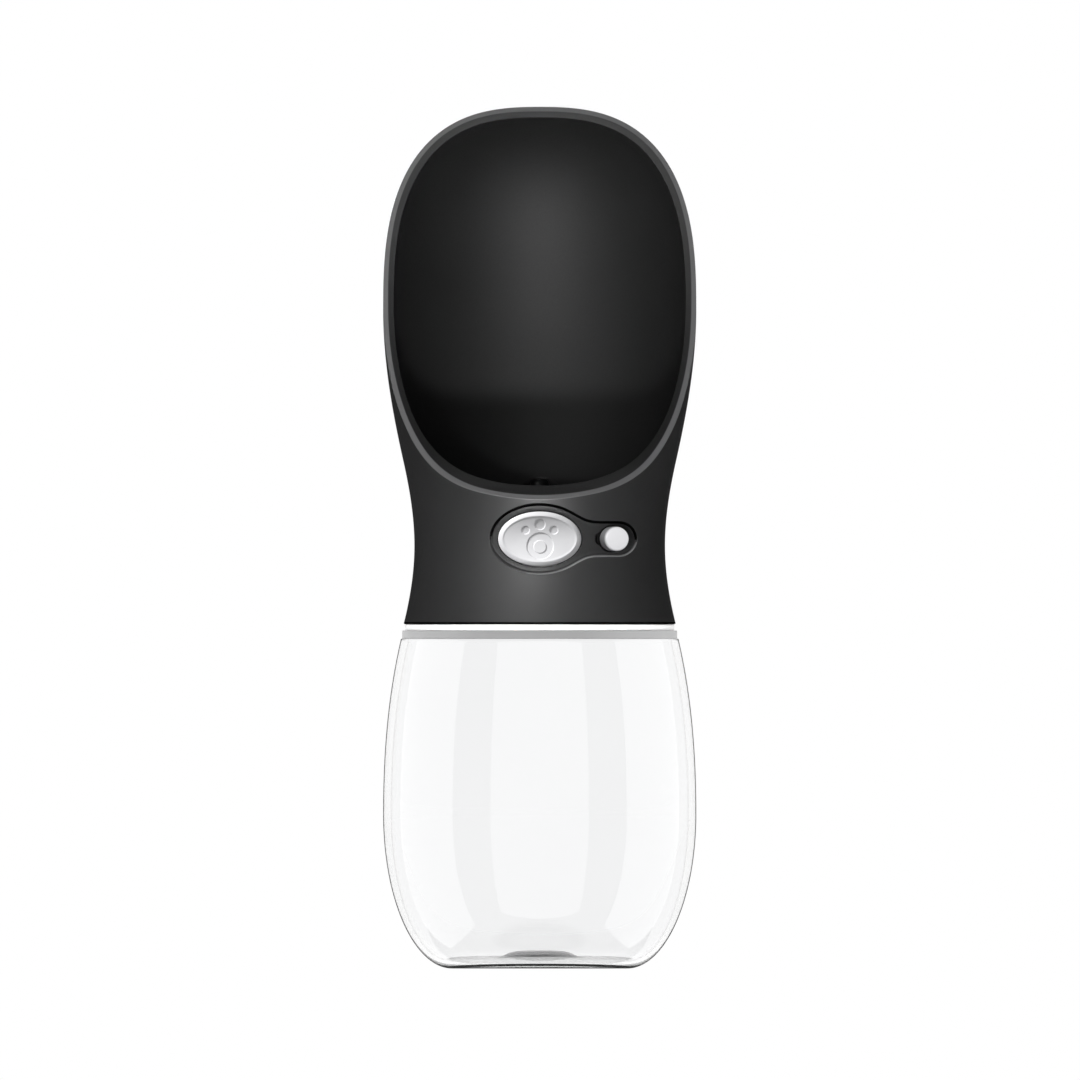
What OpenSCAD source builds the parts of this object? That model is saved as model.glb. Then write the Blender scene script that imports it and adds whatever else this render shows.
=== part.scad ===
// Travel water bottle for a dog: a clear bottle that screws into a head with a
// deep drinking trough. A sprung plunger valve in the neck lets water through
// while the button is held in, and a small slide locks the button.
// Millimetres. +Z is up, the front (button side) faces -Y, and the origin is at
// the middle of the base, on the table.

/* [Bottle] */
// Greatest outer radius of the bottle
bottle_r = 37.6; // [37:0.1:38]
// Height of the bottle's widest ring above the table
bottle_mid_z = 37; // [34:0.5:40]
// Radius of the flat ring that the bottle stands on
foot_r = 21; // [20:0.5:22]
// Wall of the bottle's body
bottle_wall = 1.8; // [1.4:0.1:2.2]
// Thickness of the bottle's floor at the foot
bottle_floor = 1.4; // [1.2:0.1:2]
// Outer radius of the bottle's neck, without its thread
neck_r = 26.4; // [26.2:0.1:26.5]
// Wall of the bottle's neck
neck_wall = 2; // [1.6:0.1:2.4]

/* [Thread] */
// Number of thread starts
thread_starts = 3; // [2:1:3]
// Height that the head climbs in one turn
thread_lead = 12; // [11:0.5:12]
// Depth of each thread ridge
thread_depth = 1.2; // [1:0.05:1.3]
// Width of a ridge where it meets the wall
thread_base = 1.9; // [1.5:0.1:2]

/* [Head] */
// Greatest outer radius of the trough
trough_r = 37.6; // [37:0.1:38]
// Top of the trough above the table
top_z = 206.9; // [204:0.1:210]
// Wall of the trough
trough_wall = 2.6; // [2.4:0.1:2.8]
// Outer radius of the waist
waist_r = 30.1; // [29.9:0.1:30.4]
// Depth of the recess round the button and lock
pocket_depth = 1.3; // [1:0.1:1.4]
// Radius of the wrist strap's eye
strap_hole_r = 2; // [1.5:0.1:2.2]

/* [Button and lock] */
// Half width of the button
button_rx = 10; // [9.5:0.1:10.2]
// Half height of the button
button_rz = 6.6; // [6.2:0.1:6.7]
// How far the button stands out of its recess
button_proud = 2; // [1.5:0.1:2.4]
// Angle of the lock knob from the front, at rest
lock_angle = 36.5; // [36:0.1:37]
// Angle that the lock knob slides through
lock_travel = 6; // [4:0.5:6]
// How far the lock knob stands out of its recess
knob_proud = 2.8; // [2:0.1:3.2]

/* [Valve] */
// Radius of the plunger's stem
stem_r = 1.5; // [1.3:0.05:1.6]
// Wire radius of the return spring
spring_wire_r = 0.35; // [0.3:0.05:0.4]
// Coils of the return spring
spring_coils = 5; // [4:0.5:6]

/* [Hidden] */
$fn = 96;

black = [0.07, 0.07, 0.075];
clear_pc = [0.9, 0.93, 0.95, 0.35];
milk_white = [0.93, 0.93, 0.92];
key_grey = [0.84, 0.84, 0.86];
steel = [0.72, 0.73, 0.75];
rubber_grey = [0.3, 0.3, 0.31];

collar_z = 79.1;        // under the bottle's collar
collar_top_z = 81.1;    // top of the collar, where the gasket lies
collar_r = 33.0;
neck_top_z = 91.6;
head_z = 82.6;          // lower edge of the head
head_foot_r = 32.7;
waist_z = 101.5;
trough_z = 158;         // widest ring of the trough
bore_r = 28.0;          // bore that takes the bottle's neck
disc_z = 92.0;          // underside of the valve body's disc
disc_top_z = 94.4;
chamber_r = 27.4;       // dry chamber behind the button
key_z = 103.1;          // middle of the button and the lock
axis_z = 102.5;         // axis of the plunger
spout_y = 21.8;         // axis of the outlet
pocket_r = waist_r - pocket_depth;
knob_rt = 3.6;          // half width of the knob round the neck
knob_rz = 2.95;         // half height of the knob
dome_n = 2.7;           // exponent of the trough's rounded top

// ---- curves ----
function hermite(z, z0, r0, s0, z1, r1, s1) =
    let (h = z1 - z0, t = (z - z0) / h)
    (2*t*t*t - 3*t*t + 1) * r0 + (t*t*t - 2*t*t + t) * h * s0
    + (3*t*t - 2*t*t*t) * r1 + (t*t*t - t*t) * h * s1;

// Outer radius of the head below the trough's widest ring
function head_r(z) =
    z < waist_z ? hermite(z, head_z, head_foot_r, -0.25, waist_z, waist_r, 0)
    : z < 122 ? hermite(z, waist_z, waist_r, 0, 122, 32.8, 0.225)
    : hermite(z, 122, 32.8, 0.225, trough_z, trough_r, 0);

// Outer radius of the bottle between its widest ring and its collar
function bottle_side_r(z) =
    hermite(z, bottle_mid_z, bottle_r, 0, collar_z, 33.3, -0.235);

// A quarter of a superellipse from the widest ring to the top
function dome(a, b, z0, steps) = [for (i = [1:steps - 1]) let (q = 90 * i / steps)
    [a * pow(cos(q), 2 / dome_n), z0 + b * pow(sin(q), 2 / dome_n)]];

// Points of a Catmull-Rom curve through p, with n steps in each span
function smooth(p, n) = [for (i = [0:len(p) - 2], k = [0:n - 1])
    let (a = p[max(i - 1, 0)], b = p[i], c = p[i + 1],
         d = p[min(i + 2, len(p) - 1)], t = k / n)
    0.5 * ((2 * b) + (c - a) * t + (2*a - 5*b + 4*c - d) * t*t
           + (3*b - a - 3*c + d) * t*t*t)];

function reverse(p) = [for (i = [len(p) - 1:-1:0]) p[i]];

// ---- shared shapes ----
// A ring with a rectangular section
module ring(r0, r1, z0, z1) {
    translate([0, 0, z0]) difference() {
        cylinder(r = r1, h = z1 - z0);
        translate([0, 0, -1]) cylinder(r = r0, h = z1 - z0 + 2);
    }
}

// A round ring of circular section
module o_ring(r, section) {
    rotate_extrude() translate([r, 0]) circle(r = section, $fn = 32);
}

// Turns what is modelled along +Z to lie along +Y, on the plunger's axis
module along_y(y) {
    translate([0, y, axis_z]) rotate([-90, 0, 0]) children();
}

// Turns what is modelled along +Z to point outward at an angle from the front
module outward(angle, r, z) {
    rotate([0, 0, angle]) translate([0, -r, z]) rotate([90, 0, 0]) children();
}

// An arc of a ring, from angle a0 to a1 measured from the front towards +X
module arc(r0, r1, z0, z1, a0, a1) {
    rotate([0, 0, a0 - 90]) rotate_extrude(angle = a1 - a0)
        polygon([[r0, z0], [r1, z0], [r1, z1], [r0, z1]]);
}

// An ellipse drawn as a polygon
module oval(rx, ry, n = 64) {
    polygon([for (i = [0:n - 1]) [rx * cos(360 * i / n), ry * sin(360 * i / n)]]);
}

// A flat shape in the front view, pushed through the front wall
module through_front(y0, y1) {
    translate([0, y1, key_z]) rotate([90, 0, 0])
        linear_extrude(y1 - y0) children();
}

// Outline of the recess round the button and the lock
module pocket_outline() {
    oval(12, 8.5, 72);
    polygon([[0, 0], [7.6, 6.6], [9.6, 5.45], [11.2, 4.66], [12.8, 4.3],
        [14.6, 4.2], [19.1, 4.2], [19.1, -4.2], [14.6, -4.2], [12.8, -4.3],
        [11.2, -4.66], [9.6, -5.45], [7.6, -6.6]]);
    translate([19.1, 0]) circle(r = 4.2, $fn = 64);
}

// One helical thread ridge. root and tip are radii, start and sweep are angles.
module ridge(root, tip, z0, start, sweep, fade = 14, n = 30) {
    top = thread_base * 0.5;
    at = [for (i = [0:n]) sweep * i / n];
    grow = [for (a = at) max(0.02, min(1, a / fade, (sweep - a) / fade))];
    points = [for (i = [0:n]) let (a = start + at[i], z = z0 + thread_lead * at[i] / 360,
            t = root + (tip - root) * grow[i])
        each [for (s = [[root, -thread_base / 2], [t, -top / 2],
                [t, top / 2], [root, thread_base / 2]])
            [s[0] * cos(a), s[0] * sin(a), z + s[1]]]];
    out = tip > root;
    faces = concat(
        [for (i = [0:n - 1], k = [0:3]) let (a = 4 * i + k, b = 4 * i + (k + 1) % 4)
            each out ? [[a, b, b + 4], [a, b + 4, a + 4]]
                     : [[b, a, b + 4], [b + 4, a, a + 4]]],
        out ? [[3, 2, 1, 0], [4*n, 4*n + 1, 4*n + 2, 4*n + 3]]
            : [[0, 1, 2, 3], [4*n + 3, 4*n + 2, 4*n + 1, 4*n]]);
    polyhedron(points, faces, convexity = 6);
}

// ---- bottle ----
// Underside of the floor, from the foot to the raised middle
punt = [[18.5, 0], [16, 0.25], [11, 0.7], [8.4, 1.15], [7.3, 1.75], [6.5, 2.3],
    [5.3, 2.7], [3.2, 2.95], [0, 3]];
punt_inside = [[19.5, 0], [16, 0.12], [11.4, 0.45], [9.4, 0.85], [8.4, 1.4],
    [7.4, 2.05], [5.8, 2.55], [3.2, 2.8], [0, 2.85]];

module bottle() {
    mid = bottle_mid_z;
    inner_r = bottle_r - bottle_wall - foot_r;
    in_h = mid - bottle_floor;
    outer = concat(
        [for (i = [0:14]) let (q = 90 * i / 14)
            [foot_r + (bottle_r - foot_r) * sin(q), mid * (1 - cos(q))]],
        [for (i = [1:14]) let (z = mid + (collar_z - mid) * i / 14)
            [bottle_side_r(z), z]],
        [[collar_r, collar_z], [collar_r, collar_top_z - 0.2],
            [collar_r - 0.2, collar_top_z], [neck_r, collar_top_z],
            [neck_r, neck_top_z - 0.4], [neck_r - 0.4, neck_top_z],
            [neck_r - neck_wall + 0.4, neck_top_z],
            [neck_r - neck_wall, neck_top_z - 0.4]]);
    inner = concat(
        [[neck_r - neck_wall, collar_top_z + 0.2], [neck_r - neck_wall + 0.5, collar_z + 0.4],
            [neck_r - neck_wall + 1.6, collar_z]],
        [[30.8, collar_z - 0.02], [31.3, collar_z - 0.3], [31.45, collar_z - 0.9]],
        [for (i = [1:13]) let (z = 77 - (77 - mid) * i / 14)
            [bottle_side_r(z) - bottle_wall, z]],
        [for (i = [14:-1:0]) let (q = 90 * i / 14)
            [foot_r + inner_r * sin(q), mid - in_h * cos(q)]],
        [for (p = punt_inside) [p[0], p[1] + bottle_floor]]);
    color(clear_pc) union() {
        rotate_extrude($fn = 128) polygon(concat(outer, inner, reverse(punt)));
        for (s = [0:thread_starts - 1])
            ridge(neck_r - 0.3, neck_r + thread_depth, 84.0, 360 * s / thread_starts, 150);
    }
}

// Silicone ring between the collar and the head, with a lip in the head's groove
module neck_gasket() {
    color(milk_white) rotate_extrude($fn = 128) polygon([
        [28.3, 81.13], [32.2, 81.13], [32.3, 81.5], [32.3, 82.2], [32.2, 82.56],
        [30.45, 82.56], [30.4, 83.4], [29.1, 83.4], [29.05, 82.56], [28.3, 82.56]]);
}

// ---- head ----
// Inside of the trough, from the middle of its floor up the wall
trough_inside = [[0, 112.3], [8, 112.35], [15, 112.6], [19, 113.0], [22, 113.65],
    [24.2, 114.6], [25.8, 115.8], [27.1, 117.5], [28.4, 120.2], [29.9, 124.0],
    [31.7, 130], [33.05, 136.4]];
// Side view of the trough's rim, as [y, z], from the front of the neck to the top
rim_line = [[-36, 110.4], [-31, 112.8], [-25.4, 116.1], [-19.8, 120.8],
    [-15, 126.8], [-10.6, 134], [-6.8, 142], [-3.8, 150.5], [-1.6, 160],
    [0, 171], [1.2, 184], [2.2, 198], [2.8, 212]];

module head_profile() {
    upper = trough_z - 136.4;
    polygon(concat(
        [[bore_r + 0.6, head_z], [head_foot_r - 0.25, head_z], [head_foot_r - 0.05, head_z + 0.25]],
        [for (i = [1:24]) let (z = head_z + (trough_z - head_z) * i / 24) [head_r(z), z]],
        dome(trough_r, top_z - trough_z, trough_z, 18),
        [[0, top_z], [0, top_z - trough_wall]],
        reverse(dome(trough_r - trough_wall, top_z - trough_z - trough_wall, trough_z, 18)),
        [for (i = [7:-1:1]) let (z = 136.4 + upper * i / 7) [head_r(z) - trough_wall, z]],
        [[33.05, 136.4]],
        reverse(smooth(trough_inside, 2)),
        [[0, 110.15], [25.6, 110.15], [26.6, 109.7], [chamber_r, 108.4],
            [chamber_r, disc_top_z + 0.05], [bore_r, disc_top_z + 0.05],
            [bore_r, head_z + 0.6]]));
}

module head_shell() {
    color(black) difference() {
        union() {
            rotate_extrude($fn = 128) head_profile();
            // posts for the keeper behind the lock
            for (dz = [-5.4, 5.4])
                outward(lock_angle + 2, 23.8, key_z + dz) cylinder(r = 1.9, h = 4.2, $fn = 32);
            for (s = [0:thread_starts - 1])
                ridge(bore_r + 0.3, bore_r - thread_depth, 84.4,
                    360 * s / thread_starts + (84.4 + 1.65 - 84.0) * 360 / thread_lead, 118);
        }
        // front of the trough, open above the rim line
        translate([60, 0, 0]) rotate([90, 0, -90]) linear_extrude(120)
            polygon(concat([for (p = smooth(rim_line, 3)) [-p[0], p[1]]],
                [[-2.8, 212], [60, 212], [60, 110.4]]));
        // recess, button hole and lock slot
        difference() {
            through_front(-45, -10) pocket_outline();
            cylinder(r = pocket_r, h = 150, $fn = 128);
        }
        through_front(-45, -20) oval(button_rx + 0.25, button_rz + 0.25, 72);
        for (a = [lock_angle, lock_angle - lock_travel])
            outward(a, 24, key_z) cylinder(r = 2.1, h = 10, $fn = 48);
        arc(26, 33, key_z - 2.1, key_z + 2.1, lock_angle - lock_travel, lock_angle);
        // sump and hole for the outlet
        translate([0, spout_y, 112.6]) cylinder(r = 5.5, h = 8, $fn = 64);
        translate([0, spout_y, 108]) cylinder(r = 2.7, h = 8, $fn = 48);
        // grooves for the gasket's lip and the retaining ring
        ring(29.0, 30.5, head_z - 1, 83.5);
        ring(27, 29.0, 91.0, disc_z);
        // seat of the strap lug, on the back
        arc(29.3, 34, waist_z - 4.8, waist_z + 4.8, 171.4, 188.6);
        // pilot holes for the keeper's screws
        for (dz = [-5.4, 5.4])
            outward(lock_angle + 2, 23, key_z + dz) cylinder(r = 0.83, h = 4.2, $fn = 24);
    }
}

// Lug for a wrist strap, welded into a shallow seat on the back of the waist
module strap_lug() {
    color(black) difference() {
        union() {
            arc(29.35, 30.75, waist_z - 4.7, waist_z + 4.7, 171.5, 188.5);
            intersection() {
                translate([-2.2, 0, waist_z]) rotate([0, 90, 0]) union() {
                    translate([0, 33, 0]) cylinder(r = 4, h = 4.4, $fn = 64);
                    translate([-4, 28.6, 0]) cube([8, 4.4, 4.4]);
                }
                ring(29.6, 37.4, 90, 112);
            }
        }
        translate([-5, 33, waist_z]) rotate([0, 90, 0])
            cylinder(r = strap_hole_r, h = 10, $fn = 64);
    }
}

// ---- valve ----
module valve_body() {
    color(milk_white) difference() {
        union() {
            translate([0, 0, disc_z]) cylinder(r = 27.75, h = disc_top_z - disc_z, $fn = 128);
            translate([-4.2, -13, disc_top_z - 0.5]) cube([8.4, 36, 5]);
            along_y(-18) cylinder(r = 6.2, h = 43.4, $fn = 64);
            translate([0, spout_y, axis_z]) cylinder(r = 3.5, h = 6.7, $fn = 48);
            // ribs that stiffen the disc
            for (x = [-19, 19]) translate([x - 0.7, -16, disc_top_z - 0.5]) cube([1.4, 32, 1.8]);
            for (y = [-10, 12]) translate([-19, y - 0.7, disc_top_z - 0.5]) cube([38, 1.4, 1.8]);
        }
        // groove for the disc's o-ring
        ring(26.15, 29, 92.35, 94.05);
        // inlet from the bottle
        translate([0, 3, disc_z - 1]) cylinder(r = 3.2, h = axis_z - disc_z + 1, $fn = 48);
        // bores along the plunger, front to back
        along_y(-19) cylinder(r = 4.5, h = 5.5, $fn = 64);
        along_y(-14) cylinder(r = 3.4, h = 4, $fn = 64);
        along_y(-11) cylinder(r = stem_r + 0.2, h = 6, $fn = 48);
        along_y(-7.5) cylinder(r = 3.6, h = 17.5, $fn = 64);
        along_y(9) cylinder(r = 2.6, h = 4, $fn = 64);
        difference() {
            along_y(11.5) cylinder(r = 4.7, h = 15, $fn = 64);
            along_y(11) cylinder(r = 3.2, h = 1.15, $fn = 64);
        }
        // outlet, up to the spout
        translate([0, spout_y, axis_z]) cylinder(r = 1.5, h = 9, $fn = 48);
        translate([0, spout_y, 107.6]) cylinder(r = 2.45, h = 3, $fn = 48);
    }
}

module base_o_ring() {
    color(rubber_grey) translate([0, 0, 93.2]) o_ring(27.12, 0.82);
}

// Open snap ring under the disc, with an eye at each end
module retaining_ring() {
    color(steel) difference() {
        union() {
            ring(27.0, 28.9, 91.05, 91.95);
            for (a = [-14, 14]) rotate([0, 0, a]) translate([0, -27.85, 91.05])
                cylinder(r = 1.1, h = 0.9, $fn = 32);
        }
        arc(25, 30, 90, 93, -13, 13);
        for (a = [-14.6, 14.6]) rotate([0, 0, a]) translate([0, -27.85, 90])
            cylinder(r = 0.5, h = 3, $fn = 24);
    }
}

// Short standpipe in the trough, with a rounded tip and side slots
module outlet_spout() {
    color(black) translate([0, spout_y, 0]) difference() {
        rotate_extrude($fn = 64) polygon(concat([[1.2, 107.65], [2.4, 107.65], [2.4, 115.6]],
            [for (q = [10:10:80]) [1.25 + 1.15 * cos(q), 115.6 + 1.9 * sin(q)]],
            [[1.2, 117.5]]));
        for (a = [0, 90]) rotate([0, 0, a + 45]) translate([-4, -0.5, 113.4]) cube([8, 1, 2]);
    }
}

module outlet_grommet() {
    color(rubber_grey) translate([0, spout_y, 0]) ring(2.48, 3.6, 109.25, 110.1);
}

// Plug in the back of the valve's barrel, with a groove for its o-ring
module barrel_plug() {
    color(milk_white) along_y(0) rotate_extrude($fn = 64) polygon([
        [0, 23], [4.6, 23], [4.6, 23.5], [3.2, 23.5], [3.2, 24.9], [4.6, 24.9],
        [4.6, 25.45], [5.5, 25.45], [5.5, 26.1], [5.2, 26.4], [0, 26.4]]);
}

module barrel_plug_o_ring() {
    color(rubber_grey) along_y(24.2) o_ring(3.95, 0.68);
}

// Threaded gland that holds the stem's seal, with a screwdriver slot
module stem_gland() {
    color(milk_white) difference() {
        along_y(0) rotate_extrude($fn = 64) polygon([
            [stem_r + 0.15, -18.8], [5.6, -18.8], [5.6, -18.05], [4.4, -18.05],
            [4.4, -13.6], [3.3, -13.6], [3.3, -12.7], [stem_r + 0.15, -12.7]]);
        translate([-6, -19.5, axis_z - 0.5]) cube([12, 1.3, 1]);
    }
}

module stem_seal() {
    color(rubber_grey) along_y(0) rotate_extrude($fn = 64) polygon([
        [stem_r + 0.03, -12.6], [3.3, -12.6], [3.3, -10.1], [2.7, -10.1],
        [2.5, -11.2], [2.1, -11.2], [stem_r + 0.03, -10.1]]);
}

// ---- lock ----
// Plate behind the slide, screwed to two posts
module lock_keeper() {
    color(milk_white) difference() {
        arc(22.3, 23.7, key_z - 7.2, key_z + 6.6, 29.5, 54);
        for (dz = [-5.4, 5.4]) outward(lock_angle + 2, 20, key_z + dz)
            cylinder(r = 1.0, h = 6, $fn = 32);
    }
}

module keeper_screws() {
    color(steel) for (dz = [-5.4, 5.4]) difference() {
        union() {
            outward(lock_angle + 2, 22.2, key_z + dz) cylinder(r = 0.8, h = 4.7, $fn = 32);
            outward(lock_angle + 2, 20.95, key_z + dz) cylinder(r = 1.6, h = 1.25, $fn = 32);
        }
        for (q = [0, 90]) outward(lock_angle + 2, 20.9, key_z + dz) rotate([0, 0, q])
            translate([-1.1, -0.2, 0]) cube([2.2, 0.4, 0.7]);
    }
}

// Oval knob outside the wall, on a round stem through the slot
module lock_knob() {
    color(key_grey) outward(lock_angle, 0, key_z) difference() {
        union() {
            translate([0, 0, pocket_r + 0.15])
                linear_extrude(knob_proud - 0.35) oval(knob_rt, knob_rz, 48);
            translate([0, 0, pocket_r + knob_proud - 0.21])
                linear_extrude(0.2) oval(knob_rt - 0.2, knob_rz - 0.2, 48);
            translate([0, 0, 27.36]) cylinder(r = 1.9, h = 3, $fn = 48);
        }
        // socket for the slider's peg
        translate([0, 0, 27]) cylinder(r = 1.22, h = 3, $fn = 32);
    }
}

// Curved slide behind the wall, with a peg for the knob and a tongue
module lock_slider() {
    color(black) union() {
        arc(25.9, 27.3, key_z - 3.3, key_z + 3.3, lock_angle - 5, lock_angle + 9);
        arc(23.9, 27.3, key_z - 2.6, key_z + 2.6, lock_angle - 4, lock_angle + 5);
        arc(23.9, 25.1, key_z - 2.6, key_z + 2.6, lock_angle - 4.9, lock_angle - 3.5);
        outward(lock_angle, 26.5, key_z) cylinder(r = 1.2, h = 3.4, $fn = 32);
    }
}

// ---- button and plunger ----
// Paw figure: a round pad with a disc in it, and three toes
module paw(depth) {
    through_front(-pocket_r - button_proud - 1, -pocket_r - button_proud + depth) {
        translate([0, -1.5]) circle(r = 3.1, $fn = 48);
        translate([0, 3.5]) circle(r = 1.3, $fn = 32);
        for (s = [-1, 1]) translate([3.4 * s, 1.9]) circle(r = 1.0, $fn = 32);
    }
}

module button_cap() {
    face_r = pocket_r + button_proud;
    color(key_grey) difference() {
        union() {
            intersection() {
                through_front(-40, -15) oval(button_rx, button_rz, 72);
                difference() {
                    cylinder(r = face_r, h = 150, $fn = 128);
                    translate([0, 0, 60]) cylinder(r = 25.5, h = 80, $fn = 128);
                }
                translate([-20, -40, 80]) cube([40, 30, 50]);
            }
            along_y(-28.6) cylinder(r = 3, h = 6, $fn = 48);
        }
        // hollow behind the face
        difference() {
            intersection() {
                through_front(-40, -22.6) oval(button_rx - 1.4, button_rz - 1.4, 72);
                cylinder(r = face_r - 2, h = 150, $fn = 128);
            }
            along_y(-29) cylinder(r = 3, h = 8, $fn = 48);
        }
        // socket for the stem
        along_y(-27.2) cylinder(r = stem_r + 0.02, h = 6, $fn = 48);
        // shallow paw figure in the face
        difference() {
            paw(1.0);
            cylinder(r = face_r - 0.3, h = 150, $fn = 128);
            through_front(-40, -20) translate([0, -1.5]) circle(r = 1.5, $fn = 32);
        }
    }
}

// Steel stem, with a groove for its clip
module plunger_stem() {
    color(steel) along_y(0) rotate_extrude($fn = 48) polygon([
        [0, -27.1], [stem_r - 0.3, -27.1], [stem_r, -26.8], [stem_r, 14.95],
        [1.1, 14.95], [1.1, 15.6], [stem_r, 15.6], [stem_r, 16.1], [1.2, 16.4], [0, 16.4]]);
}

module valve_plug() {
    color(rubber_grey) along_y(0) rotate_extrude($fn = 64) polygon([
        [stem_r + 0.02, 12.17], [3.9, 12.17], [4.05, 12.5], [4.05, 13.8], [3.9, 14.15],
        [stem_r + 0.02, 14.15]]);
}

module spring_washer() {
    color(steel) along_y(0) ring(stem_r + 0.02, 3.95, 14.17, 14.92);
}

module stem_clip() {
    color(steel) difference() {
        along_y(0) ring(1.12, 2.6, 14.97, 15.57);
        translate([-0.8, 14, axis_z - 4]) cube([1.6, 3, 4]);
    }
}

// Coil spring behind the plunger, one tube swept along a helix
module return_spring() {
    n = round(spring_coils * 14);
    y0 = 14.95 + spring_wire_r;
    y1 = 22.95 - spring_wire_r;
    r = 3.5;
    k = 8;
    points = [for (i = [0:n], j = [0:k - 1])
        let (t = i / n, a = 360 * spring_coils * t, b = 360 * j / k,
             y = y0 + (y1 - y0) * (t < 0.1 ? t * 0.35 : t > 0.9 ? 1 - (1 - t) * 0.35
                 : 0.035 + (t - 0.1) * 0.93 / 0.8),
             q = r + spring_wire_r * cos(b))
        [q * cos(a), q * sin(a), y + spring_wire_r * sin(b)]];
    faces = concat(
        [for (i = [0:n - 1], j = [0:k - 1]) let (a = k * i + j, b = k * i + (j + 1) % k)
            each [[b, a, b + k], [b + k, a, a + k]]],
        [[for (j = [0:k - 1]) j], [for (j = [k - 1:-1:0]) k * n + j]]);
    color(steel) along_y(0) polyhedron(points, faces, convexity = 10);
}

bottle();
neck_gasket();
head_shell();
strap_lug();
valve_body();
base_o_ring();
retaining_ring();
outlet_spout();
outlet_grommet();
barrel_plug();
barrel_plug_o_ring();
stem_gland();
stem_seal();
lock_keeper();
keeper_screws();
return_spring();
button_cap();
plunger_stem();
valve_plug();
spring_washer();
stem_clip();
lock_knob();
lock_slider();
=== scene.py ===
import math

import bpy
import numpy as np
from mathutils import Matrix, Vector
from mathutils.geometry import delaunay_2d_cdt
from mathutils.kdtree import KDTree


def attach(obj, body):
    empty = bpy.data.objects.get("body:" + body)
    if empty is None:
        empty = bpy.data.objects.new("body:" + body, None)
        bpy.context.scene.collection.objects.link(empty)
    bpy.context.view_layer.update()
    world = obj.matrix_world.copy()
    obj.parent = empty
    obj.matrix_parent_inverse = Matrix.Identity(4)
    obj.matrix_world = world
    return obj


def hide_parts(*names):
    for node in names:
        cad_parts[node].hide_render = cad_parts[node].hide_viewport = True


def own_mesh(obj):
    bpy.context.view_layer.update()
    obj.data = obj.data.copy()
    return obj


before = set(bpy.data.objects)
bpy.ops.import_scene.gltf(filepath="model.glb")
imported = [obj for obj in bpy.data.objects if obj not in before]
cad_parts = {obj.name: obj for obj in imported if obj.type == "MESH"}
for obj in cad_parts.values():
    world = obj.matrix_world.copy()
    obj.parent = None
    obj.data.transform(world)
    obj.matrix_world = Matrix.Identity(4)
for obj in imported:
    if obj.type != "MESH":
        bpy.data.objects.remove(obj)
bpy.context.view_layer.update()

MM = 0.001
scene = bpy.context.scene
scene.view_settings.view_transform = "Standard"
scene.view_settings.look = "None"

# ------------------------------------------------------------------ camera
# Straight at the front with no perspective: 0.24 mm per pixel of a 1080 by 1080 frame.
cam_data = bpy.data.cameras.new("camera")
cam_data.type = "ORTHO"
cam_data.ortho_scale = 0.24 * 1080 * MM
cam_data.clip_start = 0.01
cam_data.clip_end = 50.0
camera = bpy.data.objects.new("camera", cam_data)
scene.collection.objects.link(camera)
camera.location = (0.07 * MM, -1.5, 102.84 * MM)
camera.rotation_euler = (math.radians(90), 0, 0)
scene.camera = camera


# ------------------------------------------------------------------ curves
def hermite(z, z0, r0, s0, z1, r1, s1):
    h = z1 - z0
    t = (z - z0) / h
    return ((2 * t**3 - 3 * t**2 + 1) * r0 + (t**3 - 2 * t**2 + t) * h * s0
            + (3 * t**2 - 2 * t**3) * r1 + (t**3 - t**2) * h * s1)


SKIN = 0.02  # the visual surface stays this much inside the CAD's outline
HEAD_Z, WAIST_Z, WIDE_Z, TOP_Z = 82.6, 101.5, 158.0, 206.83
DOME_N = 2.7
WALL = 2.6
KEY_Z = 103.1
POCKET_R = 28.8


def head_r(z):
    z = np.asarray(z, float)
    return np.where(
        z < WAIST_Z, hermite(z, HEAD_Z, 32.7, -0.25, WAIST_Z, 30.1, 0.0),
        np.where(z < 122, hermite(z, WAIST_Z, 30.1, 0.0, 122, 32.8, 0.225),
                 hermite(z, 122, 32.8, 0.225, WIDE_Z, 37.6, 0.0))) - SKIN


def gauss_open(a, sigma):
    """Smooths a 1-D array along its length and keeps its ends."""
    n = int(3 * sigma) + 1
    k = np.exp(-0.5 * (np.arange(-n, n + 1) / sigma) ** 2)
    k /= k.sum()
    pad = np.concatenate([2 * a[0] - a[n:0:-1], a, 2 * a[-1] - a[-2:-n - 2:-1]])
    return np.convolve(pad, k, "valid")


def gauss_closed(a, sigma):
    n = int(3 * sigma) + 1
    k = np.exp(-0.5 * (np.arange(-n, n + 1) / sigma) ** 2)
    k /= k.sum()
    return np.convolve(np.concatenate([a[-n:], a, a[:n]]), k, "valid")


def catmull(points, steps):
    p = np.array(points, float)
    out = []
    for i in range(len(p) - 1):
        a, b, c, d = p[max(i - 1, 0)], p[i], p[i + 1], p[min(i + 2, len(p) - 1)]
        for k in range(steps):
            t = k / steps
            out.append(0.5 * (2 * b + (c - a) * t + (2 * a - 5 * b + 4 * c - d) * t * t
                              + (3 * b - a - 3 * c + d) * t**3))
    out.append(p[-1])
    return np.array(out)


def resample(p, n=None, step=None, closed=False):
    """Points spaced evenly along a polyline."""
    p = np.asarray(p, float)
    q = np.vstack([p, p[:1]]) if closed else p
    s = np.concatenate([[0], np.cumsum(np.linalg.norm(np.diff(q, axis=0), axis=1))])
    if n is None:
        n = max(2, int(round(s[-1] / step)) + (0 if closed else 1))
    t = np.linspace(0, s[-1], n + 1)[:-1] if closed else np.linspace(0, s[-1], n)
    return np.stack([np.interp(t, s, q[:, i]) for i in range(q.shape[1])], 1)


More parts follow.
